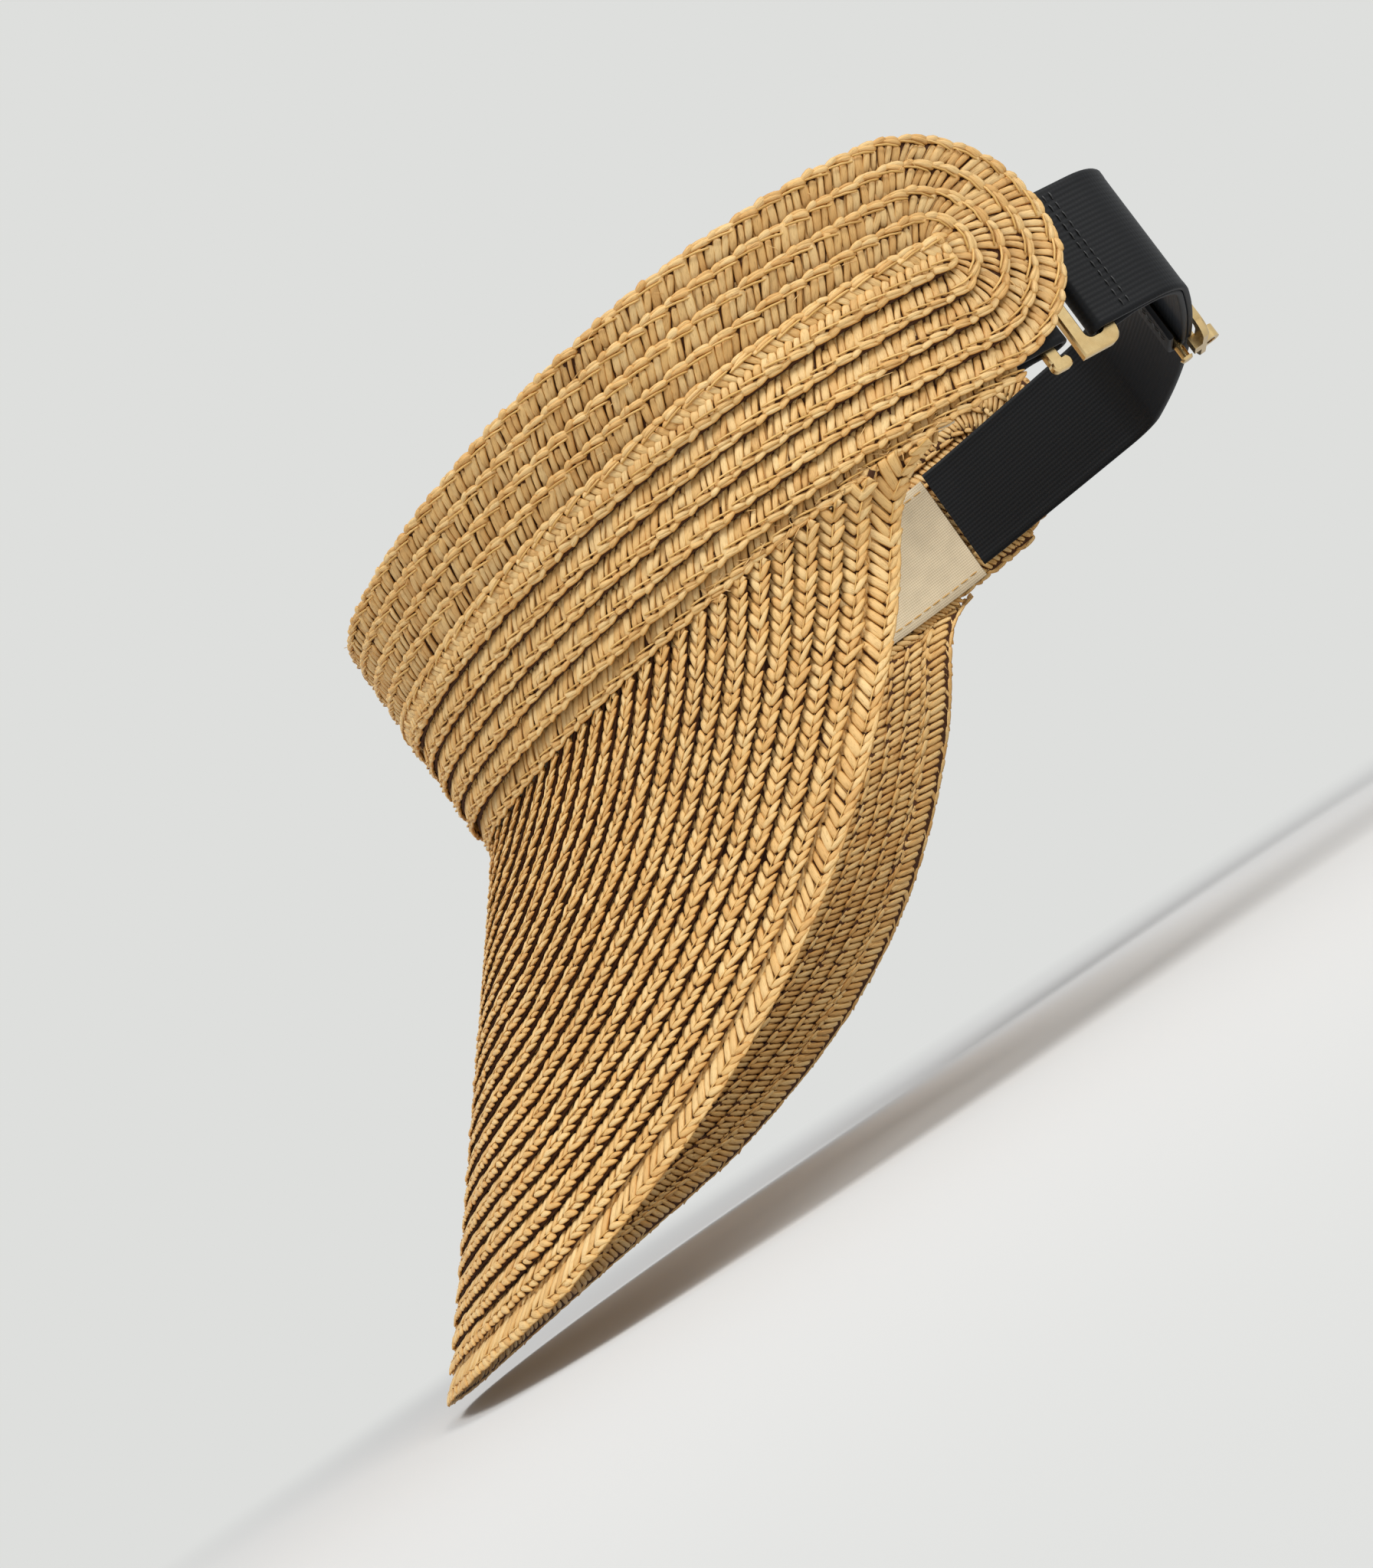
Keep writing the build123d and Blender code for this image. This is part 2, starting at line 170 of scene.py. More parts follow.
def ramp(tree, factor, *stops):
    node = add_node(tree, "ShaderNodeValToRGB", in0=factor)
    while len(node.color_ramp.elements) < len(stops):
        node.color_ramp.elements.new(0.5)
    for element, (place, value) in zip(node.color_ramp.elements, stops):
        element.position = place
        element.color = value
    return node.outputs[0]


def tinted(tree, base, tint):
    """One colour multiplied by another."""
    return add_node(tree, "ShaderNodeMix", {"data_type": "RGBA", "blend_type": "MULTIPLY"},
                    in0=1.0, in6=base, in7=tint).outputs[2]


def math_node(tree, operation, first, second, third=0.5):
    return add_node(tree, "ShaderNodeMath", {"operation": operation},
                    in0=first, in1=second, in2=third).outputs[0]


def rescale(tree, value, low, high, new_low, new_high, settings=()):
    return add_node(tree, "ShaderNodeMapRange", settings, in0=value, in1=low, in2=high,
                    in3=new_low, in4=new_high).outputs[0]


def bump(tree, height, strength, depth):
    return add_node(tree, "ShaderNodeBump", Strength=strength, Distance=depth,
                    Height=height).outputs[0]


print("colour and pattern helpers are ready")

# %% [markdown]
# ## Floor and surroundings
# The visor stands on its brim on a plain pale floor, in front of nothing. A floor that ends would
# draw a line behind the visor, so it fades into the light of the surroundings with distance, and
# keeps only the soft shadow near the brim.

# %% Surroundings
backdrop = colour(222, 223, 221)
world = bpy.data.worlds.new("studio")
bpy.context.scene.world = world
world.use_nodes = True
sky = world.node_tree
sky.nodes.clear()
rays = add_node(sky, "ShaderNodeLightPath").outputs
seen = math_node(sky, "MAXIMUM", rays["Is Camera Ray"], rays["Is Glossy Ray"])
seen = math_node(sky, "MAXIMUM", seen, rays["Is Transmission Ray"])
around = add_node(sky, "ShaderNodeBackground", Color=(0.95, 0.97, 1.0, 1.0), Strength=0.5)
behind = add_node(sky, "ShaderNodeBackground", Color=backdrop, Strength=1.0)
either = add_node(sky, "ShaderNodeMixShader", in0=seen, in1=around.outputs[0],
                  in2=behind.outputs[0])
add_node(sky, "ShaderNodeOutputWorld", Surface=either.outputs[0])

# %% Floor
floor_gap, floor_radius = 0.0015, 3.0
fade_from, fade_to = 0.14, 0.42

bpy.ops.object.select_all(action="DESELECT")
floor_level = cad_box[0].z - floor_gap
bpy.ops.mesh.primitive_circle_add(vertices=96, radius=floor_radius, fill_type="NGON",
                                  location=(0, -0.04, floor_level))
floor = bpy.context.object
floor.name = "floor"
material, tree = new_material("pale_floor")
away = add_node(tree, "ShaderNodeVectorMath", {"operation": "LENGTH"},
                in0=object_place(tree)).outputs["Value"]
fade = rescale(tree, away, fade_from, fade_to, 0.0, 1.0, {"interpolation_type": "SMOOTHSTEP"})
paint = add_node(tree, "ShaderNodeBsdfDiffuse", Color=(0.68, 0.68, 0.67, 1.0))
glow = add_node(tree, "ShaderNodeEmission", Color=backdrop, Strength=1.0)
rays = add_node(tree, "ShaderNodeLightPath").outputs
fade = math_node(tree, "MULTIPLY", fade, rays["Is Camera Ray"])
finish_material(tree, add_node(tree, "ShaderNodeMixShader", in0=fade, in1=paint.outputs[0],
                               in2=glow.outputs[0]))
floor.data.materials.append(material)
print("floor at z =", round(floor_level * 1000, 1), "mm")

# %% [markdown]
# ## Light
# Two broad soft lamps, one from above and one from the side, give the braids their form. A sun
# would draw hard shadows between the strands. The lamps are placed by where they stand in the
# camera's view, so that the light keeps falling across the rows.

# %% Lamps
visor_middle = Vector((0.03, -0.03, -0.02))


def soft_lamp(name, across, above, nearer, size, power, tint):
    lamp_data = bpy.data.lights.new(name, "AREA")
    lamp_data.shape = "DISK"
    lamp_data.size = size
    lamp_data.energy = power
    lamp_data.color = tint
    lamp = into_scene(name, lamp_data)
    lamp.location = visor_middle + right * across + up * above - forward * nearer
    to_visor = visor_middle - lamp.location
    lamp.rotation_euler = to_visor.to_track_quat("-Z", "Y").to_euler()
    print(name, "stands", round(to_visor.length, 2), "m away")


soft_lamp("key_lamp", 0.15, 1.0, 0.55, 0.5, 5.4, (1.0, 0.985, 0.96))
soft_lamp("side_lamp", -0.85, 0.65, 0.4, 0.6, 7.6, (1.0, 0.99, 0.98))

# %% [markdown]
# ## The straw
# The braid is plaited from folded paper straw. Each strand is a flat, slightly shiny ribbon with
# fine creases along it, and no two have quite the same tone. Every strand that is laid below
# carries an attribute with its own length, girth and a random number. The finish stretches its
# noise along the strand with the first two, and takes the strand's tone from the third. A second
# attribute is 1 along a strand's sides, where strands meet, and there the finish paints shade: a
# deeper, more saturated colour for light that goes from straw to straw before it comes out.

# %% Straw finish
streak_stretch = (0.3, 1.9, 53.0)


def straw_finish(name, dark, middle_tone, light, roughness, depth):
    """Depth is that of the creases, in metres."""
    material, tree = new_material(name)
    strand = add_node(tree, "ShaderNodeAttribute", {"attribute_name": "strand"}).outputs["Vector"]
    streak_place = add_node(tree, "ShaderNodeVectorMath", {"operation": "MULTIPLY"},
                            in0=strand, in1=streak_stretch).outputs[0]
    streaks = noise(tree, streak_place, 2.4, 4.0, 0.62)
    own = add_node(tree, "ShaderNodeSeparateXYZ", in0=strand).outputs[2]
    tone = ramp(tree, own, (0.0, dark), (0.35, middle_tone), (0.72, light), (1.0, middle_tone))
    patches = noise(tree, object_place(tree), 38.0, 2.0)
    crevice = add_node(tree, "ShaderNodeAttribute", {"attribute_name": "crevice"}).outputs["Fac"]
    # the third ramp paints shade along each strand's sides: a deeper, warmer colour where strands
    # meet
    for factor, stops in (
            (streaks, ((0.3, (0.66, 0.58, 0.46, 1.0)), (0.46, (0.95, 0.93, 0.88, 1.0)),
                       (0.7, WHITE))),
            (patches, ((0.3, (0.9, 0.87, 0.83, 1.0)), (0.7, WHITE))),
            (crevice, ((0.15, WHITE), (0.6, (0.92, 0.82, 0.62, 1.0)),
                       (1.0, (0.62, 0.42, 0.16, 1.0))))):
        tone = tinted(tree, tone, ramp(tree, factor, *stops))
    rough = rescale(tree, streaks, 0.3, 0.7, roughness + 0.1, roughness - 0.1)
    shader = add_node(tree, "ShaderNodeBsdfPrincipled", Base_Color=tone, Roughness=rough,
                      Normal=bump(tree, streaks, 0.6, depth))
    finish_material(tree, shader)
    return material


straw = straw_finish("straw", colour(225, 177, 107), colour(238, 195, 126),
                     colour(246, 212, 151), 0.5, 0.00026)
# a dark straw for the insides of braids, whose brown is painted shade
shade_painted_straw = straw_finish("straw_in_shade", colour(60, 31, 6), colour(74, 40, 10),
                          colour(84, 47, 14), 0.9, 0.00005)
sewing_thread = straw_finish("sewing_thread", colour(206, 162, 88), colour(222, 180, 104),
                             colour(236, 196, 124), 0.45, 0.00004)
print("straw finishes:", straw.name, shade_painted_straw.name, sewing_thread.name)

# %% [markdown]
# ## The strands
# A braid shows only short lengths of its strands: plump lobes along its edges, flatter leaves
# between them, and the sewing thread's stitches. Each is modelled once, one unit long, as a ring of
# points that is extruded along its length and scaled at every step, then flattened above and below
# as a folded ribbon is. A sphere would do for a distant view, but it has no ends that tuck under a
# neighbour. A strand has few faces, because thousands of copies are laid.

# %% Strand shapes
ridge_width = 0.05


def grow_strand(name, sides, rings, flatness):
    """A strand from x = 0 to 1. Each ring is (place along it, its half-width)."""
    bpy.ops.object.select_all(action="DESELECT")
    bpy.ops.mesh.primitive_circle_add(vertices=sides, radius=1.0, fill_type="NGON",
                                      location=(rings[0][0], 0, 0), rotation=(0, math.pi / 2, 0))
    bpy.ops.object.transform_apply(location=True, rotation=True, scale=True)
    strand = bpy.context.object
    strand.name = name
    bpy.ops.object.mode_set(mode="EDIT")
    bpy.ops.mesh.select_all(action="SELECT")
    width = 1.0
    for number, (place, size) in enumerate(rings):
        if number:
            bpy.ops.mesh.extrude_region_move(
                TRANSFORM_OT_translate={"value": (place - rings[number - 1][0], 0, 0)})
        bpy.ops.transform.resize(value=(1, size / width, size / width),
                                 center_override=(place, 0, 0))
        width = size
    bpy.ops.mesh.select_all(action="SELECT")
    bpy.ops.mesh.normals_make_consistent(inside=False)
    bpy.ops.object.mode_set(mode="OBJECT")
    for vertex in strand.data.vertices:
        vertex.select = abs(vertex.co.y) < ridge_width
    bpy.ops.object.mode_set(mode="EDIT")
    bpy.ops.transform.resize(value=(1, 1, flatness), center_override=(0, 0, 0))
    bpy.ops.object.mode_set(mode="OBJECT")
    return strand


def as_shape(strand):
    """The strand's points and faces as arrays, ready to be copied, and its object put away. An
    extrusion lists its faces in any order, so they are sorted, to be the same every time."""
    points = np.array([v.co for v in strand.data.vertices])
    faces = sorted(list(face.vertices) for face in strand.data.polygons)
    print(strand.name, "has", len(faces), "faces")
    bpy.data.objects.remove(strand)
    return points, np.concatenate(faces), np.array([len(face) for face in faces])


lobe = as_shape(grow_strand("edge_lobe", 8, ((0.0, 0.4), (0.08, 0.84), (0.28, 1.0), (0.55, 0.9),
                                             (0.82, 0.62), (1.0, 0.22)), 0.7))
leaf = as_shape(grow_strand("leaf", 8, ((0.0, 0.6), (0.08, 0.92), (0.35, 1.0), (0.7, 0.98),
                                        (0.93, 0.8), (1.0, 0.5)), 0.74))
hidden_leaf = as_shape(grow_strand("inner_leaf", 6, ((0.0, 0.6), (0.15, 0.95), (0.6, 1.0),
                                                     (1.0, 0.6)), 0.8))
stitch = as_shape(grow_strand("stitch", 6, ((0.0, 0.6), (0.1, 0.9), (0.5, 1.0), (0.9, 0.9),
                                            (1.0, 0.6)), 0.95))

# %% [markdown]
# ## Laying strands on a surface
# Every strand is placed on a flat plan of its row first: x along the row, y in from the row's outer
# edge, z up out of the braid, all in millimetres. The row's own function then carries every point
# of every strand to its place on the band or the brim. A curve modifier could bend a flat braid
# too, but the rows lie on a leaning and fanning surface, and a function follows it exactly. Hand
# work is never quite even, so each strand also differs a little in length, place (mm), direction
# (degrees), width, height and lift (mm).

# %% Laying strands
chance = np.random.default_rng(26)
length_varies, place_varies, turn_varies = 0.035, 0.05, 2.6
width_varies, height_varies, lift_varies = 0.07, 0.08, 0.06
# the height on a strand's ring above which no shade is painted
crevice_top = 0.6


def lay(shape, starts, ends, half_width, half_height, heights, uneven=1.0):
    """Copies of a strand, each from its start to its end on the plan, and bowed over the three
    heights at its start, middle and end. Returns points, face corners, face sizes, attributes."""
    points, corners, sizes = shape
    starts, ends = np.asarray(starts, float), np.asarray(ends, float)
    count = len(starts)
    stretch = chance.normal(0, length_varies * uneven, (count, 1))
    slip = chance.normal(0, place_varies * uneven, (count, 2))
    runs = ends - starts
    starts = starts - runs * stretch + slip
    ends = ends + runs * stretch + slip
    turn = np.radians(chance.normal(0, turn_varies * uneven, count))
    middles, halves = (starts + ends) / 2, (ends - starts) / 2
    halves = np.stack([halves[:, 0] * np.cos(turn) - halves[:, 1] * np.sin(turn),
                       halves[:, 0] * np.sin(turn) + halves[:, 1] * np.cos(turn)], axis=1)
    starts, runs = middles - halves, 2 * halves
    across = np.stack([-runs[:, 1], runs[:, 0]], axis=1)
    across /= np.linalg.norm(across, axis=1, keepdims=True)
    wide = half_width * (1 + chance.normal(0, width_varies * uneven, count))
    high = half_height * (1 + chance.normal(0, height_varies * uneven, count))
    lift = chance.normal(0, lift_varies * uneven, count)
    share, side, top = points[:, 0], points[:, 1], points[:, 2]
    flat = (starts[:, None] + runs[:, None] * share[None, :, None]
            + across[:, None] * (wide[:, None] * side[None])[..., None])
    low, mid, end = heights
    bow = (low * (1 - share) * (1 - 2 * share) + mid * 4 * share * (1 - share)
           + end * share * (2 * share - 1))
    z = bow[None] + lift[:, None] + high[:, None] * top[None]
    laid = np.concatenate([flat, z[..., None]], axis=2).reshape(-1, 3)
    girth = np.arctan2(top, side)
    length = np.linalg.norm(runs, axis=1)
    own = chance.random(count)
    # painted shade: 1 on a strand's sides and 0 at its top and bottom, and the straw finish darkens
    # the colour by it
    crevice = np.clip((crevice_top - np.abs(top)) / crevice_top, 0, 1)
    marks = np.stack([length[:, None] * share[None] + 0 * z,
                      wide[:, None] * girth[None],
                      own[:, None] + 0 * z,
                      crevice[None] + 0 * z], axis=2).reshape(-1, 4)
    shifted = (corners[None] + len(points) * np.arange(count)[:, None]).ravel()
    return laid, shifted, np.tile(sizes, count), marks


print("each strand's place varies by about", place_varies, "mm")

# %% [markdown]
# ## The inside of a braid
# Between the strands of a real braid lie more strands, in deep shade. A thin ribbon along the
# middle stands for them and closes the gaps. Its dark brown is painted shade, the shade those
# strands lie in. It is laid on the same flat plan.

# %% Strips inside a braid
def strip(length, line, thick, step=4.0, closed=False):
    """A ribbon along a row. The line gives the places (y, z) that its cross-section runs through,
    and thick is half its thickness."""
    count = max(int(length / step), 2)
    x = np.linspace(0, length, count, endpoint=not closed)
    line = np.array(line)
    ring = np.concatenate([line + (0, thick), line[::-1] - (0, thick)])
    sides = len(ring)
    laid = np.concatenate([np.repeat(x, sides)[:, None], np.tile(ring, (count, 1))], axis=1)
    first = np.arange(count if closed else count - 1)
    following = (first + 1) % count
    faces = []
    for side in range(sides):
        other = (side + 1) % sides
        faces.append(np.stack([first * sides + side, first * sides + other,
                               following * sides + other, following * sides + side], axis=1))
    corners = np.concatenate(faces)
    sizes = np.full(len(corners), 4)
    corners = corners.ravel()
    if not closed:
        for spot in range(len(line) - 1):
            end = np.array([sides - 1 - spot, sides - 2 - spot, spot + 1, spot])
            corners = np.concatenate([corners, end, (count - 1) * sides + end[::-1]])
            sizes = np.concatenate([sizes, [4, 4]])
    marks = np.stack([laid[:, 0], laid[:, 1], np.full(len(laid), 0.5), 0 * laid[:, 0]], axis=1)
    return laid, corners, sizes, marks


print("a strip of 40 mm has", len(strip(40.0, ((0, 0), (8, 0)), 0.04)[2]), "faces")

# %% [markdown]
# ## From strands to a piece
# One row of braid is one mesh, so all its strands are joined, carried to their place and given
# their attributes. Joining objects one by one would take minutes, and arrays take a moment.

# %% Make a piece
def joined(groups, place):
    """Groups of (laid strands, material) as one, and carried to their place. Returns points, face
    corners, face sizes, attributes and material numbers, and the list of materials."""
    parts, materials, offset = [], [], 0
    for (laid, corners, sizes, marks), material in groups:
        if material not in materials:
            materials.append(material)
        finish = np.full(len(sizes), materials.index(material))
        parts.append((place(*laid.T), corners + offset, sizes, marks, finish))
        offset += len(laid)
    return [np.concatenate(part) for part in zip(*parts)], materials


def make_piece(name, groups, place, slot, *nodes):
    """One mesh from groups of (laid strands, material), which replaces the nodes that are given."""
    (points, corners, sizes, marks, finishes), materials = joined(groups, place)
    mesh = bpy.data.meshes.new(name)
    mesh.vertices.add(len(points))
    mesh.vertices.foreach_set("co", (points * MM).astype(np.float32).ravel())
    mesh.loops.add(len(corners))
    mesh.loops.foreach_set("vertex_index", corners.astype(np.int32))
    mesh.polygons.add(len(sizes))
    mesh.polygons.foreach_set("loop_start", (np.cumsum(sizes) - sizes).astype(np.int32))
    mesh.polygons.foreach_set("material_index", finishes.astype(np.int32))
    mesh.polygons.foreach_set("use_smooth", np.ones(len(sizes), bool))
    attribute = mesh.attributes.new("strand", "FLOAT_VECTOR", "POINT")
    attribute.data.foreach_set("vector", marks[:, :3].astype(np.float32).ravel())
    # the strands' painted shade along their sides
    attribute = mesh.attributes.new("crevice", "FLOAT", "POINT")
    attribute.data.foreach_set("value", marks[:, 3].astype(np.float32))
    mesh.update(calc_edges=True)
    mesh.validate()
    for material in materials:
        mesh.materials.append(material)
    piece = into_scene(name, mesh)
    if nodes:
        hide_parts(*nodes)
    print(f"{name}: {int((sizes - 2).sum())} triangles")
    return piece


def carried(laid, place):
    """Laid strands whose points are at their place already, for a piece that spans many rows."""
    return (place(*laid[0].T), *laid[1:])


def make_from_carried(name, lots, material, slot):
    return make_piece(name, [(laid, material) for laid in lots],
                      lambda x, y, z: np.stack([x, y, z], axis=1), slot)


# %% [markdown]
# ## The head line
# In plan, the band follows three arcs to each side: a tight one at the forehead, a long flat one at
# the temple and a middling one at the nape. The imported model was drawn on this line, so the same
# arcs carry the strands here.

# %% Head line
front_to_axis = 100.0
arc_sizes = ((56.0, 40.0), (150.0, 34.0), (88.0, 42.0))
UP = np.array([0.0, 0.0, 1.0])
FLIP = np.array([-1.0, 1.0, 1.0])


def heading(angle):
    angle = np.radians(np.asarray(angle, float))
    return np.stack([np.cos(angle), np.sin(angle), 0 * angle], axis=-1)


def outward(angle):
    angle = np.radians(np.asarray(angle, float))
    return np.stack([np.sin(angle), -np.cos(angle), 0 * angle], axis=-1)


head_arcs, corner, turned_so_far = [], np.array([0.0, -front_to_axis, 0.0]), 0.0
for radius, turn in arc_sizes:
    head_arcs.append((corner, turned_so_far, radius, turn))
    corner = corner + (outward(turned_so_far + turn) - outward(turned_so_far)) * radius
    turned_so_far += turn
round_end, end_heading = corner, turned_so_far
side_length = sum(radius * math.radians(turn) for radius, turn in arc_sizes)
print("head line:", round(side_length, 1), "mm to each side, ends at", np.round(round_end, 2))


def head_line(distance):
    """Points and direction angles on the head line, these distances left of the front."""
    distance = np.asarray(distance, float)
    left = np.abs(distance)
    points, angles = np.zeros(left.shape + (3,)), np.zeros(left.shape)
    begin = 0.0
    for start, angle, radius, turn in head_arcs:
        length = radius * math.radians(turn)
        here = (left >= begin) & (left <= begin + length)
        swept = np.degrees((left[here] - begin) / radius)
        angles[here] = angle + swept
        points[here] = start + (outward(angle + swept) - outward(angle)) * radius
        begin += length
    here = left > begin
    angles[here] = end_heading
    points[here] = round_end + heading(end_heading) * (left[here] - begin)[:, None]
    mirrored = np.where(distance < 0, -1.0, 1.0)
    points[..., 0] *= mirrored
    return points, angles * mirrored


# %% [markdown]
# ## Rows of the band
# The band starts from a straight braid along its middle. Four more turns of the same braid run
# round it like a track, each lapped under its neighbour, and one extra row lies below them. The
# wall leans out by two degrees. `along_turn` carries a plan to one closed turn: out along
# the lower stretch, round the left end, back along the upper stretch, and round the right end.
# A row's length is that of its measured line, 2.5 mm in from its outer edge.

# %% Where the band's rows lie
braid_width, band_pitch, lap_rise, measured_line = 8.0, 5.5, 1.25, 2.5
band_turns = 4
centre_height, wall_lean = 31.5, math.radians(2.0)
edge_rise = math.radians(1.15)
band_slope = lap_rise / band_pitch


def wall_point(base, out, across, depth):
    off = centre_height * math.tan(wall_lean) + across * math.sin(wall_lean) \
        + depth * math.cos(wall_lean)
    height = centre_height + across * math.cos(wall_lean) - depth * math.sin(wall_lean)
    return base + out * off[:, None] + UP * height[:, None]


def along_stretch(edge, start, slope=band_slope, sink=0.0, rise=0.0):
    """Carries a plan to one open length of braid, whose outer edge lies below the middle."""
    def place(x, y, z):
        base, angle = head_line(x + start)
        laid = wall_point(base, outward(angle), y - edge, z - sink - slope * y)
        if rise:
            back, high = laid[:, 1] + front_to_axis, laid[:, 2].copy()
            laid[:, 1] = back * math.cos(rise) - high * math.sin(rise) - front_to_axis
            laid[:, 2] = back * math.sin(rise) + high * math.cos(rise)
        return laid
    return place


# %% Carry a plan to a closed turn
def along_turn(number):
    """Gives the function that carries the plan, and the turn's length."""
    edge = braid_width / 2 + number * band_pitch
    straight, bend = 2 * side_length, edge - measured_line
    half_turn = math.pi * bend
    length = 2 * (straight + half_turn)
    end_out, to_back = outward(end_heading), heading(end_heading)

    def place(x, y, z):
        x = np.mod(x, length)
        depth = z - band_slope * y
        rho = edge - y
        laid = np.zeros((len(x), 3))
        for stage in range(4):
            begin = (0.0, straight, straight + half_turn, 2 * straight + half_turn)[stage]
            size = straight if stage in (0, 2) else half_turn
            here = (x >= begin) & (x <= begin + size)
            part, r, d = x[here] - begin, rho[here], depth[here]
            if stage in (0, 2):
                side = -1 if stage == 0 else 1
                base, angle = head_line((part - side_length) * -side)
                laid[here] = wall_point(base, outward(angle), side * r, d)
            else:
                swing = part / bend
                base = round_end + to_back * (r * np.sin(swing))[:, None]
                across = -r * np.cos(swing) if stage == 1 else r * np.cos(swing)
                turned_in = wall_point(base, end_out, across, d)
                laid[here] = turned_in if stage == 1 else turned_in * FLIP
        return laid
    return place, length


for number in range(1, band_turns + 1):
    print("band turn", number, "is", round(along_turn(number)[1]), "mm long")

# %% [markdown]
# ## Braids of the band
# In a lapped row only the outer edge rope, the stitches beside it and slanting leaves show. On the
# middle braid both edges show, and its leaves meet in arrowheads. Strands are laid one period at a
# time. Each is given by where it starts and ends on the plan, half its width and height, its height
# at start, middle and end, and how uneven it is.

# %% Periods and ropes
band_period = 5.2
stitch_start, stitch_run = 0.3, 4.9
core_half, hidden_edge_half, lining_half = 0.04, 0.32, 0.36


def periods(length, wanted):
    """Where each period of a row begins, and its length as a share of the wanted one."""
    count = max(int(round(length / wanted)), 1)
    return np.arange(count) * (length / count), length / count / wanted


def pairs(x, x_from, y_from, x_to, y_to):
    return (np.stack([x + x_from, np.full(len(x), y_from)], axis=1),
            np.stack([x + x_to, np.full(len(x), y_to)], axis=1))


def strands(shape, x, k, x_from, y_from, x_to, y_to, *size):
    """One strand of straw in each period, with k the period's share."""
    return lay(shape, *pairs(x, x_from * k, y_from, x_to * k, y_to), *size), straw


def rope(x, k, y, inward):
    """An edge rope: each period is a fat bead of two plies and a thinner one across it, which
    dives under the next bead."""
    return [strands(lobe, x, k, -0.3, y + 0.2 * inward, 3.7, y - 0.48 * inward,
                    0.62, 0.66, (0.1, 0.3, -0.1), 1.3),
            strands(lobe, x, k, -0.5, y + 0.72 * inward, 4.0, y + 0.1 * inward,
                    0.62, 0.72, (0.1, 0.5, 0.1), 1.3),
            strands(lobe, x, k, 2.7, y - 0.28 * inward, 6.0, y + 0.36 * inward,
                    0.76, 0.66, (0.16, 0.3, -0.2), 1.3)]


print("100 mm of band braid has", len(periods(100.0, band_period)[0]), "periods")

# %% Plans of the band's braids
def band_braid(length, closed=False):
    """A lapped row: its edge rope, leaves, hidden leaves, and its hidden edge and inside, which are
    dark with painted shade.
    """
    x, k = periods(length, band_period)
    groups = rope(x, k, 0.98, 1)
    for offset, half_width, low in ((0.1, 0.88, 0.0), (1.85, 0.74, 0.08), (3.5, 0.8, -0.15)):
        groups += [strands(leaf, x, k, offset, 1.8, offset + 2.1, 5.9,
                           half_width, 0.5, (0.1 + low, 0.3 + low, -0.28), 2.0),
                   strands(hidden_leaf, x, k, offset + 0.4, 1.9, offset + 3.0, 6.8,
                           0.78, 0.42, (-0.22, -0.36, -0.2))]
    groups.append(strands(hidden_leaf, x, k, 2.0, 6.75, 7.5, 7.35, 0.85, 0.55, (0.0, -0.1, 0.0)))
    # the inside and the hidden edge are strips dark with painted shade
    for line, thick in ((((1.1, -0.1), (3.4, -0.1), (5.5, -0.3), (7.2, -0.25)), core_half),
                        (((5.9, 0.36), (7.3, 0.36)), hidden_edge_half)):
        groups.append((strip(length, line, thick, closed=closed), shade_painted_straw))
    return groups


def middle_braid(length):
    """The middle row: two edge ropes, leaves that meet, and three lobes across its folded end."""
    x, k = periods(length, band_period)
    groups = rope(x, k, 1.0, 1) + rope(x + 1.4, k, 7.0, -1)
    for offset in (0.15, 1.85, 3.55):
        groups += [strands(leaf, x, k, offset, 1.75, offset + 1.3, 4.35,
                           0.82, 0.5, (0.05, 0.34, 0.05), 1.5),
                   strands(leaf, x, k, offset + 0.2, 6.4, offset + 2.3, 3.6,
                           0.82, 0.5, (0.05, 0.36, -0.15), 1.5),
                   strands(hidden_leaf, x, k, offset, 2.2, offset + 2.6, 5.8,
                           0.74, 0.42, (-0.25, -0.25, -0.25))]
    # the inside, a strip dark with painted shade
    groups.append((strip(length, ((0.9, -0.02), (7.1, -0.02)), core_half), shade_painted_straw))
    fold_x, fold_y = np.full(3, length - 0.4), np.array([0.7, 3.0, 5.2])
    groups.append((lay(lobe, np.stack([fold_x, fold_y], axis=1),
                       np.stack([fold_x + 0.2, fold_y + 2.6], axis=1),
                       0.95, 0.62, (0.4, 0.5, 0.2)), straw))
    return groups


def band_stitches(length, y_from=2.55, y_to=1.75, z=0.9):
    """The stitches beside an edge rope, one to each period."""
    x, _ = periods(length, band_period)
    return lay(stitch, *pairs(x, stitch_start, y_from, stitch_start + stitch_run, y_to),
               0.24, 0.22, (z - 0.25, z + 0.18, z - 0.15), 0.8)


# %% [markdown]
# ## Sew the band
# Each row replaces its solid and rides with the visor. The middle braid runs a little past the
# round ends, where it is folded under. The stitches that hold the rows together are laid with each
# row, and become a piece of their own at the end.

# %% Middle braid and the four turns
straight = 2 * side_length
middle_overrun = 3.0
sewing = []

length = straight + 2 * middle_overrun
place = along_stretch(braid_width / 2, -side_length - middle_overrun, slope=0.0)
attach(make_piece("middle_braid", middle_braid(length), place, "straw",
                   "band_centre_braid"), "visor")
for y_from, y_to in ((2.5, 1.8), (5.5, 6.2)):
    sewing.append(carried(band_stitches(length, y_from, y_to, 0.85), place))

for number in range(1, band_turns + 1):
    place, length = along_turn(number)
    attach(make_piece(f"band_braid_{number}", band_braid(length, closed=True), place, "straw",
                       f"band_turn_{number}"), "visor")
    sewing.append(carried(band_stitches(length), place))

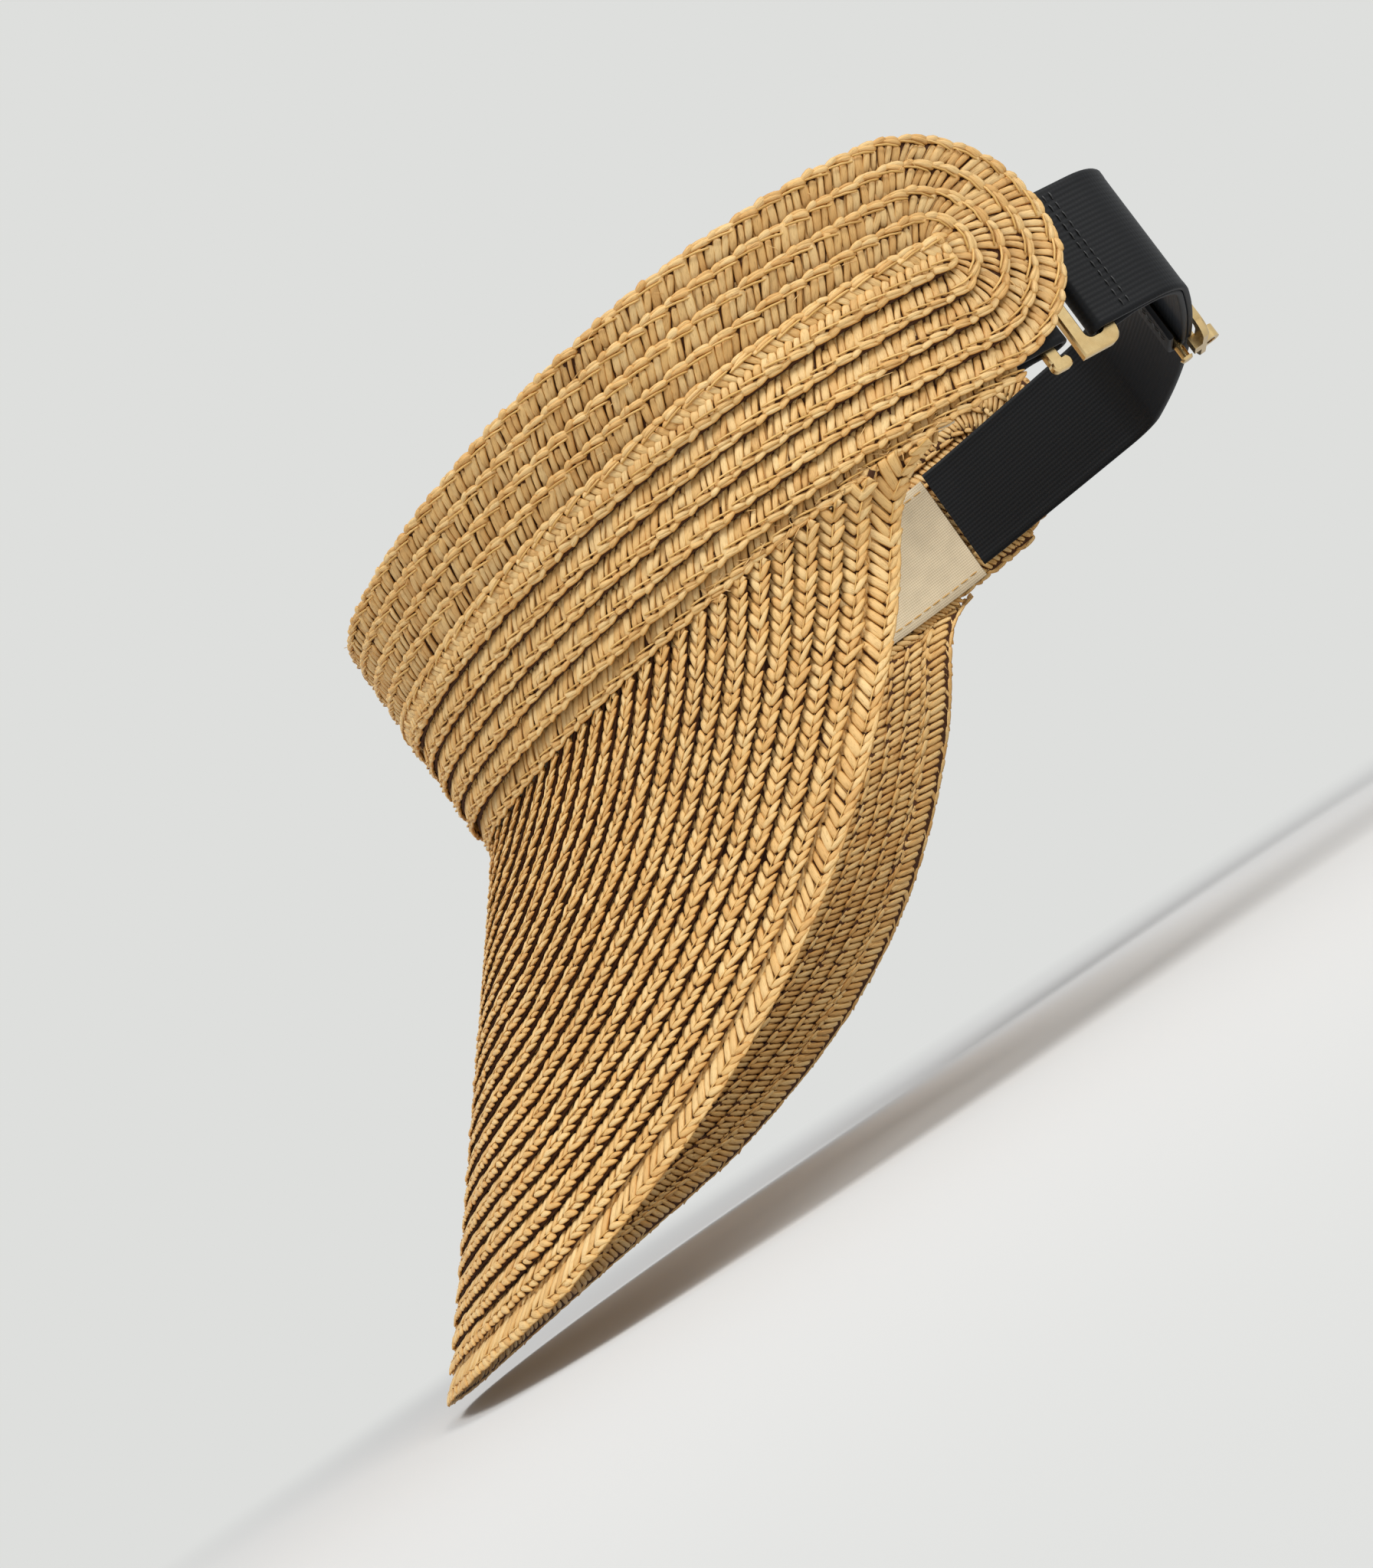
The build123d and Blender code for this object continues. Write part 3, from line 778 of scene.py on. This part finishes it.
# %% [markdown]
# ## The lowest row
# The extra row follows the band's lower edge, which climbs a little to the back, and covers the
# seam of the brim. More leaves behind its edge close that seam: broad ones along the brim, and
# finer ones close behind the row about the brim's tips. The places are in mm from the front.

# %% Lowest row
lowest_overrun, lowest_sink = 2.0, 0.9
seam_leaves_end, tip_leaves_start, tip_leaves_end = 158.0, 154.0, 172.0

length = straight + 2 * lowest_overrun
lowest_row = along_stretch(braid_width / 2 + 5 * band_pitch, -side_length - lowest_overrun,
                           sink=lowest_sink, rise=edge_rise)
groups = band_braid(length)
x, _ = periods(length, band_period)
from_front = np.abs(x - side_length - lowest_overrun)
under_seam = x[from_front < seam_leaves_end]
under_tip = x[(from_front > tip_leaves_start) & (from_front < tip_leaves_end)]
for offset in (0.0, 2.6):
    groups.append(strands(hidden_leaf, under_seam, 1.0, offset, -1.5, offset + 3.9, 0.3,
                          0.9, 0.45, (-2.2, -2.4, -2.6)))
for offset in (0.0, 1.3, 2.6, 3.9):
    groups.append(strands(hidden_leaf, under_tip, 1.0, offset, -0.9, offset + 2.2, 1.5,
                          0.55, 0.3, (-1.7, -1.8, -1.7)))
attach(make_piece("lowest_braid", groups, lowest_row, "straw", "band_lower_row"), "visor")
sewing.append(carried(band_stitches(length), lowest_row))

# %% [markdown]
# ## Loose fibres and the band's thread
# Straw splits as it is plaited, and thin ends stand off the band: a thick lot on the lowest row,
# where the last rows were joined, and a few on each turn. They are laid as very thin strands with
# random places and directions, because a hair system would not be part of the model.

# %% Loose fibres and thread
join_start, join_end, join_fibres = straight - 72.0, straight - 14.0, 100
fibres_on_turn = 34


def loose_fibres(place, start, end, count):
    x, y = chance.uniform(start, end, count), chance.uniform(0.2, 5.4, count)
    run, rise = chance.uniform(-3.4, 3.4, count), chance.uniform(-1.6, 2.2, count)
    laid = lay(stitch, np.stack([x, y], axis=1), np.stack([x + run, y + rise], axis=1),
               0.08, 0.07, (0.75, 1.15, 1.0))
    return carried(laid, place)


fibres = [loose_fibres(lowest_row, join_start, join_end, join_fibres)]
for number in range(1, band_turns + 1):
    place, length = along_turn(number)
    fibres.append(loose_fibres(place, 0.0, length, fibres_on_turn))

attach(make_from_carried("loose_fibres", fibres, straw, "straw"), "visor")
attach(make_from_carried("band_stitching", sewing, sewing_thread, "straw"), "visor")

# %% [markdown]
# ## Rows of the brim
# The brim hangs from the band's lower edge on straight ribs that fan out and get steeper towards
# the sides. Its rows run parallel to its outer edge, and each ends where it meets the band. The
# rows cross the ribs at a slant near the tips, so a plan is sheared back before it is laid.
# Strands that would lie beyond the seam are left out, and those that reach it are tucked under.

# %% Where the brim's rows lie
brim_rows, brim_pitch, brim_edge_extra = 24, 4.9, 1.5
innermost = brim_rows - 1
brim_width, brim_half_seam = 121.8, 171.5
brim_width_power, brim_tip_power = 1.6, 1.34
slope_front, slope_side, slope_tip = 53.4, 63.5, -80.3
fan_front, fan_side = 1.51, 1.16
seat_drop, seat_inset = 1.0, 1.3
seam_tuck, seam_cut, innermost_dip = 2.8, 2.4, 12.0
line_samples = 900


def brim_reach(distance):
    share = np.minimum(np.abs(distance) / brim_half_seam, 1.0)
    return brim_width * (1 - share ** brim_width_power) ** brim_tip_power


def seam_where_reach(reach):
    share = 1 - min(reach / brim_width, 1.0) ** (1 / brim_tip_power)
    return brim_half_seam * share ** (1 / brim_width_power)


def brim_ribs(distance):
    points, angle = head_line(distance)
    share = np.abs(distance) / brim_half_seam
    slope = np.radians(slope_front + slope_side * share ** 2 + slope_tip * share ** 4)
    climb = (points[:, 1] + front_to_axis) * math.tan(edge_rise) - seat_drop
    roots = points - outward(angle) * seat_inset + UP * climb[:, None]
    fan = angle * (fan_front + fan_side * share ** 2)
    return roots, outward(fan) * np.cos(slope)[:, None] - UP * np.sin(slope)[:, None]


def on_brim(distance, from_edge):
    roots, ribs = brim_ribs(distance)
    return roots + ribs * (brim_reach(distance) - from_edge)[:, None]


def row_edge(number):
    return brim_edge_extra + number * brim_pitch if number else 0.0


print("the brim reaches", round(float(brim_reach(0.0)), 1), "mm from the seam at the front")

# %% Carry a plan to a brim row
def along_brim_row(number):
    """Carries a plan to one brim row. Gives the function, the row's length, and a test of which
    places on the plan lie short of the seam."""
    outer = row_edge(number)
    dips_over = innermost_dip if number == innermost else row_edge(number + 1) - outer
    half = seam_where_reach(outer)
    d = np.linspace(-half, half, line_samples)
    line = on_brim(d, np.full(len(d), outer + measured_line))
    run = np.concatenate([[0], np.cumsum(np.linalg.norm(np.diff(line, axis=0), axis=1))])
    tangent = np.gradient(line, axis=0)
    tangent /= np.linalg.norm(tangent, axis=1, keepdims=True)
    lean = -np.einsum("ij,ij->i", brim_ribs(d)[1], tangent)

    def where(x, y):
        sheared = x - (y - measured_line) * np.interp(x, run, lean)
        return np.interp(sheared, run, d)

    def place(x, y, z):
        at = where(x, y)
        roots, ribs = brim_ribs(at)
        along = on_brim(at + 0.5, outer + y) - on_brim(at - 0.5, outer + y)
        normal = np.cross(ribs, along)
        normal /= np.linalg.norm(normal, axis=1, keepdims=True)
        from_edge = np.minimum(outer + y, brim_reach(at) + seam_tuck)
        height = lap_rise / 2 - lap_rise * y / dips_over + z
        return roots + ribs * (brim_reach(at) - from_edge)[:, None] + normal * height[:, None]

    def short_of_seam(x, y):
        return outer + y <= brim_reach(where(x, y)) + seam_cut
    return place, run[-1], short_of_seam


print("brim row 1 is", round(along_brim_row(0)[1]), "mm long, row 24",
      round(along_brim_row(innermost)[1]), "mm")

# %% [markdown]
# ## Braids of the brim
# A brim row shows an edge rope of slanting lobes and, inside it, leaves that slant the other way,
# so each row looks knitted, with its V shapes open towards the wearer's left. The stitches run down
# the middle of the V. Each row has an inside, and a lining in its lap that keeps light from
# coming through. Both are strips dark with painted shade, and both are cut off along the seam.

# %% Plan of a brim row
brim_period, brim_strip_step = 4.4, 3.0


def kept(x, middle_x, middle_y, short_of_seam):
    return x[short_of_seam(x + middle_x, np.full(len(x), middle_y))]


def brim_strip(length, line, thick, short_of_seam, clear):
    """A strip that ends this far clear of the seam."""
    laid, corners, sizes, marks = strip(length, line, thick, brim_strip_step)
    inside = short_of_seam(laid[:, 0], laid[:, 1] + clear)
    faces = np.split(corners, np.cumsum(sizes)[:-1])
    keep = [face for face in faces if inside[face].sum() >= 2]
    return laid, np.concatenate(keep), np.array([len(face) for face in keep]), marks


def brim_braid(x, k, shown, tucked, short_of_seam):
    """A row that shows for so many mm. Hidden leaves tuck it further in where that is given."""
    groups = []

    def add(shape, x_from, y_from, x_to, y_to, half_width, half_height, heights, uneven=1.5):
        here = kept(x, (x_from + x_to) * k / 2, (y_from + y_to) / 2, short_of_seam)
        if len(here):
            groups.append(strands(shape, here, k, x_from, y_from, x_to, y_to,
                                  half_width, half_height, heights, uneven))

    add(lobe, 0.0, 2.6, 3.6, 0.3, 0.84, 0.66, (0.26, 0.32, 0.05))
    add(lobe, 2.2, 2.5, 5.4, 0.45, 0.8, 0.6, (0.14, 0.22, 0.0))
    for offset in (0.1, 2.3):
        add(leaf, offset, 2.35, offset + 0.75 * (shown - 2.1), shown + 0.45, 0.9, 0.64,
            (0.14, 0.26, -0.12))
        add(hidden_leaf, offset + 0.2, 2.1, offset + 3.6, 6.8, 0.86, 0.45,
            (-0.24, -0.34, -0.2), 1.0)
    add(hidden_leaf, 0.0, 6.5, 4.6, 7.5, 0.8, 0.5, (0.0, -0.1, 0.0))
    if tucked:
        for offset in (0.0, 2.2):
            add(hidden_leaf, offset, 6.8, offset + 3.4, tucked, 0.9, 0.45, (0.1, 0.3, 0.2))
    return groups


# %% [markdown]
# ## Sew the brim
# The 24 rows are made from the rim inwards. The rim has one more line of lobes along its edge,
# since no row laps it there, and the innermost row is wider, because it goes on under the band.
# The outer three rows meet the seam at a very flat angle, so their insides, dark with painted
# shade, end further clear of it.

# %% Brim rows
innermost_shown, tucked_to = 9.0, {0: 8.9, innermost: 10.2}
core_line = ((1.1, -0.15), (7.6, -0.15))
outer_rows, outer_clear, inner_clear = 3, 2.4, 0.8

sewing = []
for number in range(brim_rows):
    place, length, short_of_seam = along_brim_row(number)
    x, k = periods(length, brim_period)
    shown = innermost_shown if number == innermost else row_edge(number + 1) - row_edge(number)
    groups = brim_braid(x, k, shown, tucked_to.get(number, 0.0), short_of_seam)
    # the inside and the lap's lining, strips dark with painted shade
    strips = [(core_line, core_half)]
    if number != innermost:
        strips.append((((shown + 1.0, 0.55), (shown + 2.3, 0.45)), lining_half))
    clear = outer_clear if number < outer_rows else inner_clear
    for line, thick in strips:
        groups.append((brim_strip(length, line, thick, short_of_seam, clear), shade_painted_straw))
    if number == 0:
        rim = kept(x, 2.4, 0.8, short_of_seam)
        groups.append(strands(lobe, rim, 1.0, -0.2, 0.85, 5.0, 0.8, 0.62, 0.5, (0.0, 0.05, 0.0)))
    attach(make_piece(f"brim_braid_{number + 1:02d}", groups, place, "straw",
                       f"brim_row_{number + 1:02d}"), "visor")
    sewn = kept(x, 2.0, 2.4, short_of_seam)
    laid = lay(stitch, *pairs(sewn, 0.2, 2.6, 3.9, 2.35), 0.16, 0.15, (0.5, 0.8, 0.5), 0.7)
    sewing.append(carried(laid, place))
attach(make_from_carried("brim_stitching", sewing, sewing_thread, "straw"), "visor")

# %% [markdown]
# ## Things with a constant section
# The sweatband and the webbing keep one section all along. Blender's curves can carry a section,
# but layers of webbing lie 0.15 mm apart here, so the section is carried along exactly the straight
# runs and arcs of the solids, in steps of at most 4 mm or 7 degrees. Each piece gets a UV map in
# metres, along it and round it, for its weave.

# %% Follow straight runs and arcs
longest_step, widest_turn = 4.0, 7.0


def webbing_path(start, angle, runs, fine=1.0):
    """Points, left-hand normals and distances along straight runs and tangent arcs, in mm. A run is
    (length, 0), and an arc is (radius, degrees to the left)."""
    points, normals, far = [np.asarray(start, float)], [-outward(angle)], [0.0]
    for size, turn in runs:
        side, begin = -outward(angle), points[-1]
        length = size if turn == 0 else size * math.radians(abs(turn))
        steps = max(int(math.ceil(length / longest_step)),
                    int(math.ceil(abs(turn) / widest_turn * fine)), 1)
        for step in range(1, steps + 1):
            share = step / steps
            if turn == 0:
                points.append(begin + heading(angle) * size * share)
                normals.append(side)
            else:
                bend = 1 if turn > 0 else -1
                now = -outward(angle + turn * share)
                points.append(begin + (side - now) * size * bend)
                normals.append(now)
            far.append(far[-1] + length / steps)
        angle += turn
    return np.array(points), np.array(normals), np.array(far), angle


print("a quarter of a circle of radius 10 mm is",
      round(webbing_path((0, 0, 0), 0.0, [(10.0, 90)])[2][-1], 1), "mm long")

# %% Sweep a section
sharp_edge = 50


def sweep(name, path, normals, far, section, height, uv_name):
    """A closed section, in (out along the normal, up) points, carried along a path."""
    count, ring = len(path), len(section)
    off, up_by = np.array(section).T
    points = (path[:, None] + normals[:, None] * off[None, :, None]
              + UP * (up_by[None, :, None] + height)).reshape(-1, 3)
    loop = np.array(list(section) + [section[0]])
    girth = np.concatenate([[0], np.cumsum(np.linalg.norm(np.diff(loop, axis=0), axis=1))])
    faces, uv = [], []
    for station in range(count - 1):
        here, there = station * ring, (station + 1) * ring
        for i in range(ring):
            j = (i + 1) % ring
            faces.append((here + i, here + j, there + j, there + i))
            uv += [(far[station], girth[i]), (far[station], girth[i + 1]),
                   (far[station + 1], girth[i + 1]), (far[station + 1], girth[i])]
    faces += [tuple(range(ring))[::-1], tuple((count - 1) * ring + i for i in range(ring))]
    uv += [(0.0, across) for across in (*off[::-1], *off)]
    mesh = bpy.data.meshes.new(name)
    mesh.from_pydata((points * MM).tolist(), [], faces)
    mesh.uv_layers.new(name=uv_name).data.foreach_set(
        "uv", (np.array(uv) * MM).astype(np.float32).ravel())
    piece = into_scene(name, mesh)
    bpy.ops.object.select_all(action="DESELECT")
    piece.select_set(True)
    bpy.context.view_layer.objects.active = piece
    bpy.ops.object.mode_set(mode="EDIT")
    bpy.ops.mesh.select_all(action="SELECT")
    bpy.ops.mesh.normals_make_consistent(inside=False)
    bpy.ops.object.mode_set(mode="OBJECT")
    bpy.ops.object.shade_smooth_by_angle(angle=math.radians(sharp_edge))
    print(name, "is", round(far[-1]), "mm long")
    return piece


# %% [markdown]
# ## Cloth and webbing finishes
# The sweatband is a plain cotton weave, and the elastic is a ribbed black polyester webbing with a
# soft sheen. Two wave patterns at right angles, one for each direction of yarn, give the relief,
# and a slow noise keeps both from looking printed.

# %% Woven finishes
wave_length = 0.314     # the distance between the bands of a wave node whose scale is 1


def woven_finish(name, uv_name, base, shade, warp, weft, depth, roughness, sheen, sheen_tint,
                 gloss=0.5):
    """warp and weft are the yarn spacings across and along the piece, in metres."""
    material, tree = new_material(name)
    place = add_node(tree, "ShaderNodeUVMap", {"uv_map": uv_name}).outputs[0]
    ribs, picks = [
        add_node(tree, "ShaderNodeTexWave", {"bands_direction": direction}, Vector=place,
                 Scale=wave_length / yarn, Distortion=wander, Detail_Scale=0.4).outputs["Fac"]
        for direction, yarn, wander in (("Y", warp, 0.6), ("X", weft, 0.8))]
    weave = math_node(tree, "MULTIPLY_ADD", ribs, 0.65, math_node(tree, "MULTIPLY", picks, 0.35))
    wear, fuzz = noise(tree, place, 160.0, 3.0), noise(tree, place, 5200.0, 2.0)
    tone = ramp(tree, weave, (0.15, shade), (0.75, base))
    tone = tinted(tree, tone, ramp(tree, wear, (0.3, (0.84, 0.84, 0.84, 1.0)), (0.7, WHITE)))
    height = math_node(tree, "MULTIPLY_ADD", fuzz, 0.3, weave)
    shader = add_node(tree, "ShaderNodeBsdfPrincipled", Base_Color=tone, Roughness=roughness,
                      Specular_IOR_Level=gloss, Sheen_Weight=sheen, Sheen_Roughness=0.4,
                      Sheen_Tint=sheen_tint, Normal=bump(tree, height, 0.7, depth))
    finish_material(tree, shader)
    return material


cotton = woven_finish("cotton_weave", "cloth", colour(220, 204, 174), colour(198, 180, 148),
                      0.0007, 0.0006, 0.00007, 0.9, 0.15, (1.0, 0.96, 0.88, 1.0))
elastic = woven_finish("ribbed_elastic", "webbing", colour(8, 11, 16), colour(4, 6, 9),
                       0.0011, 0.0008, 0.00006, 0.55, 0.03, (0.75, 0.84, 1.0, 1.0), gloss=0.22)
black_thread = straw_finish("black_thread", colour(14, 15, 18), colour(22, 24, 28),
                            colour(32, 34, 39), 0.5, 0.00003)
print("woven finishes:", cotton.name, elastic.name, black_thread.name)

# %% [markdown]
# ## Sweatband
# A cotton strip with a turned hem at each edge lies against the inside of the straw, pulled tight
# by its stitches. Its lower edge keeps just inside the band, which climbs a little to the back. It
# is held flat and doesn't hang, so it is modelled directly and not simulated.

# %% Sweatband
seat_offset, cloth_thick = -3.518, 0.8
cloth_low, cloth_high, end_gap, above_edge = 1.0, 35.0, 14.0, 0.8
cloth_stations, hem_step = 120, 0.08
reach = side_length - end_gap
s_along = np.linspace(-reach, reach, cloth_stations)
line, angle = head_line(s_along)
inner = seat_offset - cloth_thick
hem = ((seat_offset, 0.3), (seat_offset, 3.2), (seat_offset - hem_step, 3.6),
       (seat_offset - hem_step, 17.0), (seat_offset - hem_step, 30.4), (seat_offset, 30.8),
       (seat_offset, 33.7), (-3.7, 34.0), (-4.15, 34.0), (inner, 33.7), (inner, 30.8),
       (inner + 0.2, 30.4), (inner + 0.24, 17.0), (inner + 0.2, 3.6), (inner, 3.2), (inner, 0.3),
       (-4.15, 0.0), (-3.7, 0.0))
sweatband = sweep("cotton_sweatband", line, outward(angle), s_along + reach, hem, cloth_low,
                  "cloth")
climb = (line[:, 1] + front_to_axis) * math.tan(edge_rise) + above_edge - cloth_low
climb = np.maximum(climb, 0.0)
heights = np.array([v.co.z for v in sweatband.data.vertices]).reshape(len(line), len(hem))
share = (cloth_high * MM - heights) / ((cloth_high - cloth_low) * MM)
heights = heights + share * climb[:, None] * MM
for vertex, z in zip(sweatband.data.vertices, heights.ravel()):
    vertex.co.z = z
sweatband.data.materials.append(cotton)
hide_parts("sweatband")
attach(sweatband, "visor")

# %% [markdown]
# ## The sweatband's stitches
# A line of thread runs along each hem. The stitches are laid like strands, on a plan whose surface
# is the cloth.

# %% Sweatband's stitches
hem_lines, stitch_step, stitch_length = (2.4, 31.6), 3.3, 2.7
first_stitch, last_stitch = 1.5, 2 * reach - 3.5


def cloth_surface(x, y, z):
    """x along the sweatband, y up from its lower edge, z towards the head."""
    base, turned = head_line(x - reach)
    rise_here = np.interp(x - reach, s_along, climb)
    up_by = cloth_low + y + rise_here * (1 - y / (cloth_high - cloth_low))
    return base + outward(turned) * (inner - z)[:, None] + UP * up_by[:, None]


sewing = []
for y in hem_lines:
    x = np.arange(first_stitch, last_stitch, stitch_step)
    laid = lay(stitch, *pairs(x, 0.0, y, stitch_length, y), 0.2, 0.18, (-0.1, 0.1, -0.1), 0.5)
    sewing.append(carried(laid, cloth_surface))
cloth_stitching = make_from_carried("sweatband_stitching", sewing, sewing_thread,
                                    "sweatband_cloth")
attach(cloth_stitching, "visor")

# %% [markdown]
# ## Elastic strap
# One length of webbing is sewn in on the right, runs round the back, round the hook's rear bar, and
# back along its own inside to the slider's pin, where its end turns back on itself. Its runs and
# arcs are worked out here from the places of the round ends, the hook and the slider.

# %% Webbing runs
webbing_width, webbing_thick, layer_pitch, strap_height = 30.0, 1.2, 1.35, 21.0
strap_offset, metal_turn, layer_bend = -4.118, 1.8, 6.0
sewn_length, strap_straight, strap_corner, back_heading = 12.0, 38.0, 14.0, 170.0
hook_bar, rear_bar = 3.0, 25.0
slider_place, pin_turn, strap_tail = 10.0, 1.75, 9.0


def end_place(along, offset):
    return round_end + heading(end_heading) * along + outward(end_heading) * offset


sewn_radius = arc_sizes[-1][0] + strap_offset
sewn_angle = math.degrees(sewn_length / sewn_radius)
sewn_start = end_place(0, strap_offset) \
    + (outward(end_heading - sewn_angle) - outward(end_heading)) * sewn_radius
corner_turn, back_half = back_heading - end_heading, 180 - back_heading
corner_start = end_place(strap_straight, strap_offset)
corner_end = corner_start + (outward(back_heading) - outward(end_heading)) * strap_corner
back_radius = corner_end[0] / math.sin(math.radians(back_half))
back_centre = corner_end - outward(back_heading) * back_radius
slider_angle = math.degrees(slider_place / back_radius)
shift = 2 * metal_turn - layer_pitch
layer_angle = math.degrees(2 * math.atan(math.sqrt(shift / (4 * layer_bend - shift))))
bend_length = 2 * layer_bend * math.sin(math.radians(layer_angle))
print("the strap's back has a radius of", round(back_radius, 1), "mm")

# %% [markdown]
# ## Make the webbing
# Webbing isn't a flat slab: its two selvedges are a little thicker than the ribbed middle, and its
# edges are round. That section is swept along the runs. A plain box section would be quicker, but
# its edges would catch the light as a hard line.

# %% Webbing
def webbing_section(width):
    half, full = width / 2, webbing_thick / 2
    rows = [-half + 0.3, -half + 1.2, -half + 2.0] + list(np.linspace(-half + 4, half - 4, 7)) \
        + [half - 2.0, half - 1.2, half - 0.3]
    thick = [full, full, full - 0.06] + [full - 0.07] * 7 + [full - 0.06, full, full]
    face = list(zip(thick, rows))
    edge = [(0.42, half - 0.05), (0.15, half), (-0.15, half), (-0.42, half - 0.05)]
    other = [(-t, z) for t, z in face[::-1]]
    return face + edge + other + [(t, -z) for t, z in edge[::-1]]


def make_webbing(name, start, angle, runs, width, fine=1.0):
    """Gives the piece, and the place and heading that its last run ends with."""
    points, normals, far, end_angle = webbing_path(start, angle, runs, fine)
    piece = sweep(name, points, normals, far, webbing_section(width), strap_height, "webbing")
    piece.data.materials.append(elastic)
    return piece, points[-1], end_angle


print("the webbing's section has", len(webbing_section(webbing_width)), "points")

# %% [markdown]
# ## Strap and its return
# The hook and the slider both move, and a piece can bend across one joint only, so the strap is made
# as two pieces here: the main length, and the last part of the return. They meet on the inner
# layer, a little way round the back's arc. All turns are in degrees.

# %% Strap and its return
split_turn, blend_turn, past_pin = 1.25, 8.2, 1.2
turn_from = strap_straight - rear_bar
main_runs = [(sewn_radius, -sewn_angle), (strap_straight, 0), (strap_corner, -corner_turn),
             (back_radius, -2 * back_half), (strap_corner, -corner_turn), (turn_from, 0),
             (metal_turn, -180), (hook_bar, 0), (layer_bend, -layer_angle),
             (layer_bend, layer_angle), (turn_from - hook_bar - bend_length, 0),
             (strap_corner - layer_pitch, corner_turn), (back_radius - layer_pitch, split_turn)]
strap, split_end, split_heading = make_webbing(
    "elastic_strap", sewn_start * FLIP, 180 - end_heading + sewn_angle, main_runs, webbing_width)
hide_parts("strap")
blend_start = back_centre + outward(180 - blend_turn) * back_radius + UP * strap_height
blend_end = end_place(rear_bar, strap_offset) + UP * strap_height
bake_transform(strap)

return_runs = [(back_radius - layer_pitch, back_half - slider_angle - split_turn),
               (pin_turn, 180), (strap_tail, 0)]
strap_return, _, _ = make_webbing("strap_return", split_end, split_heading, return_runs,
                                  webbing_width, 1.4)
pin_angle = 180 - slider_angle - past_pin
pin_place = back_centre + outward(pin_angle) * back_radius
split_place = back_centre + outward(back_heading) * back_radius
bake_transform(strap_return)

# %% [markdown]
# ## Tab at the left end
# A folded loop of the same webbing is sewn inside the left end. The hook's free bar slips under it.

# %% End tab
tab_width, fold_centre, clear = 28.0, 14.5, 4.0
tab_runs = [(sewn_radius, sewn_angle), (fold_centre, 0), (metal_turn, 180), (clear, 0),
            (layer_bend, -layer_angle), (layer_bend, layer_angle),
            (fold_centre - clear - bend_length, 0), (sewn_radius - layer_pitch, -sewn_angle)]
tab, _, _ = make_webbing("webbing_tab", sewn_start, end_heading - sewn_angle, tab_runs,
                         tab_width, 1.4)
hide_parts("end_tab")
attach(tab, "visor")

# %% [markdown]
# ## Seams of the webbing
# Two rows of short black stitches cross the webbing where its layers are sewn together: behind the
# hook, in the tab, and at the strap's tail by the slider. Each seam rides with what it holds.

# %% Cross stitches
hook_seam, tab_seam, tail_depth = 30.6, 3.0, 2.9
half_thick = webbing_thick / 2
cross_step, cross_length = 2.3, 1.8


def cross_stitches(name, base, along, out, length, body, gap):
    """A row of short stitches up the webbing, and a second one beside it."""
    middle = base + UP * strap_height

    def place(x, y, z):
        return middle + UP * x[:, None] + along * y[:, None] + out * z[:, None]
    x = np.arange(-length / 2, length / 2 - 1.5, cross_step)
    groups = [(lay(stitch, *pairs(x, 0.0, y, cross_length, y), 0.2, 0.16, (-0.1, 0.1, -0.1), 0.5),
               black_thread) for y in (0.0, gap)]
    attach(make_piece(name, groups, place, "elastic"), body)


out_end, to_back = outward(end_heading), heading(end_heading)
cross_stitches("hook_end_stitching", end_place(hook_seam, strap_offset + half_thick),
               to_back, out_end, 27.0, "hook", 1.6)
cross_stitches("tab_stitching", end_place(tab_seam, strap_offset - layer_pitch - half_thick),
               to_back, -out_end, 25.0, "visor", 1.8)
tail_in = back_radius - 2 * layer_pitch - tail_depth
cross_stitches("tail_stitching", back_centre + outward(pin_angle) * tail_in,
               -heading(pin_angle), -outward(pin_angle), 27.0, "slider", 1.8)

# %% [markdown]
# ## Metal
# The hook and the slider are die-cast and plated in a pale gold. The solids already have their
# chamfers and round corners, so they stay, and get a finish: a clear polish, with the faint
# unevenness that plating has over a casting.

# %% Metal finish
def plated_finish(name, light, deep, roughness):
    material, tree = new_material(name)
    place = object_place(tree)
    uneven, fine = noise(tree, place, 420.0, 3.0), noise(tree, place, 1500.0, 1.0)
    tone = ramp(tree, uneven, (0.35, deep), (0.65, light))
    rough = rescale(tree, fine, 0.3, 0.7, roughness - 0.02, roughness + 0.03)
    height = math_node(tree, "MULTIPLY_ADD", fine, 0.08, uneven)
    shader = add_node(tree, "ShaderNodeBsdfPrincipled", Base_Color=tone, Roughness=rough,
                      Metallic=1.0, Normal=bump(tree, height, 0.05, 0.00002))
    finish_material(tree, shader)
    return material


gold = plated_finish("pale_gold_plate", colour(228, 200, 146), colour(221, 190, 134), 0.24)
for name in ("g_hook", "slider_frame", "slider_bar"):
    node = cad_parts[name]
    if not node.material_slots:
        node.data.materials.append(gold)
    for holder in node.material_slots:
        holder.material = gold
    print("plated:", name)
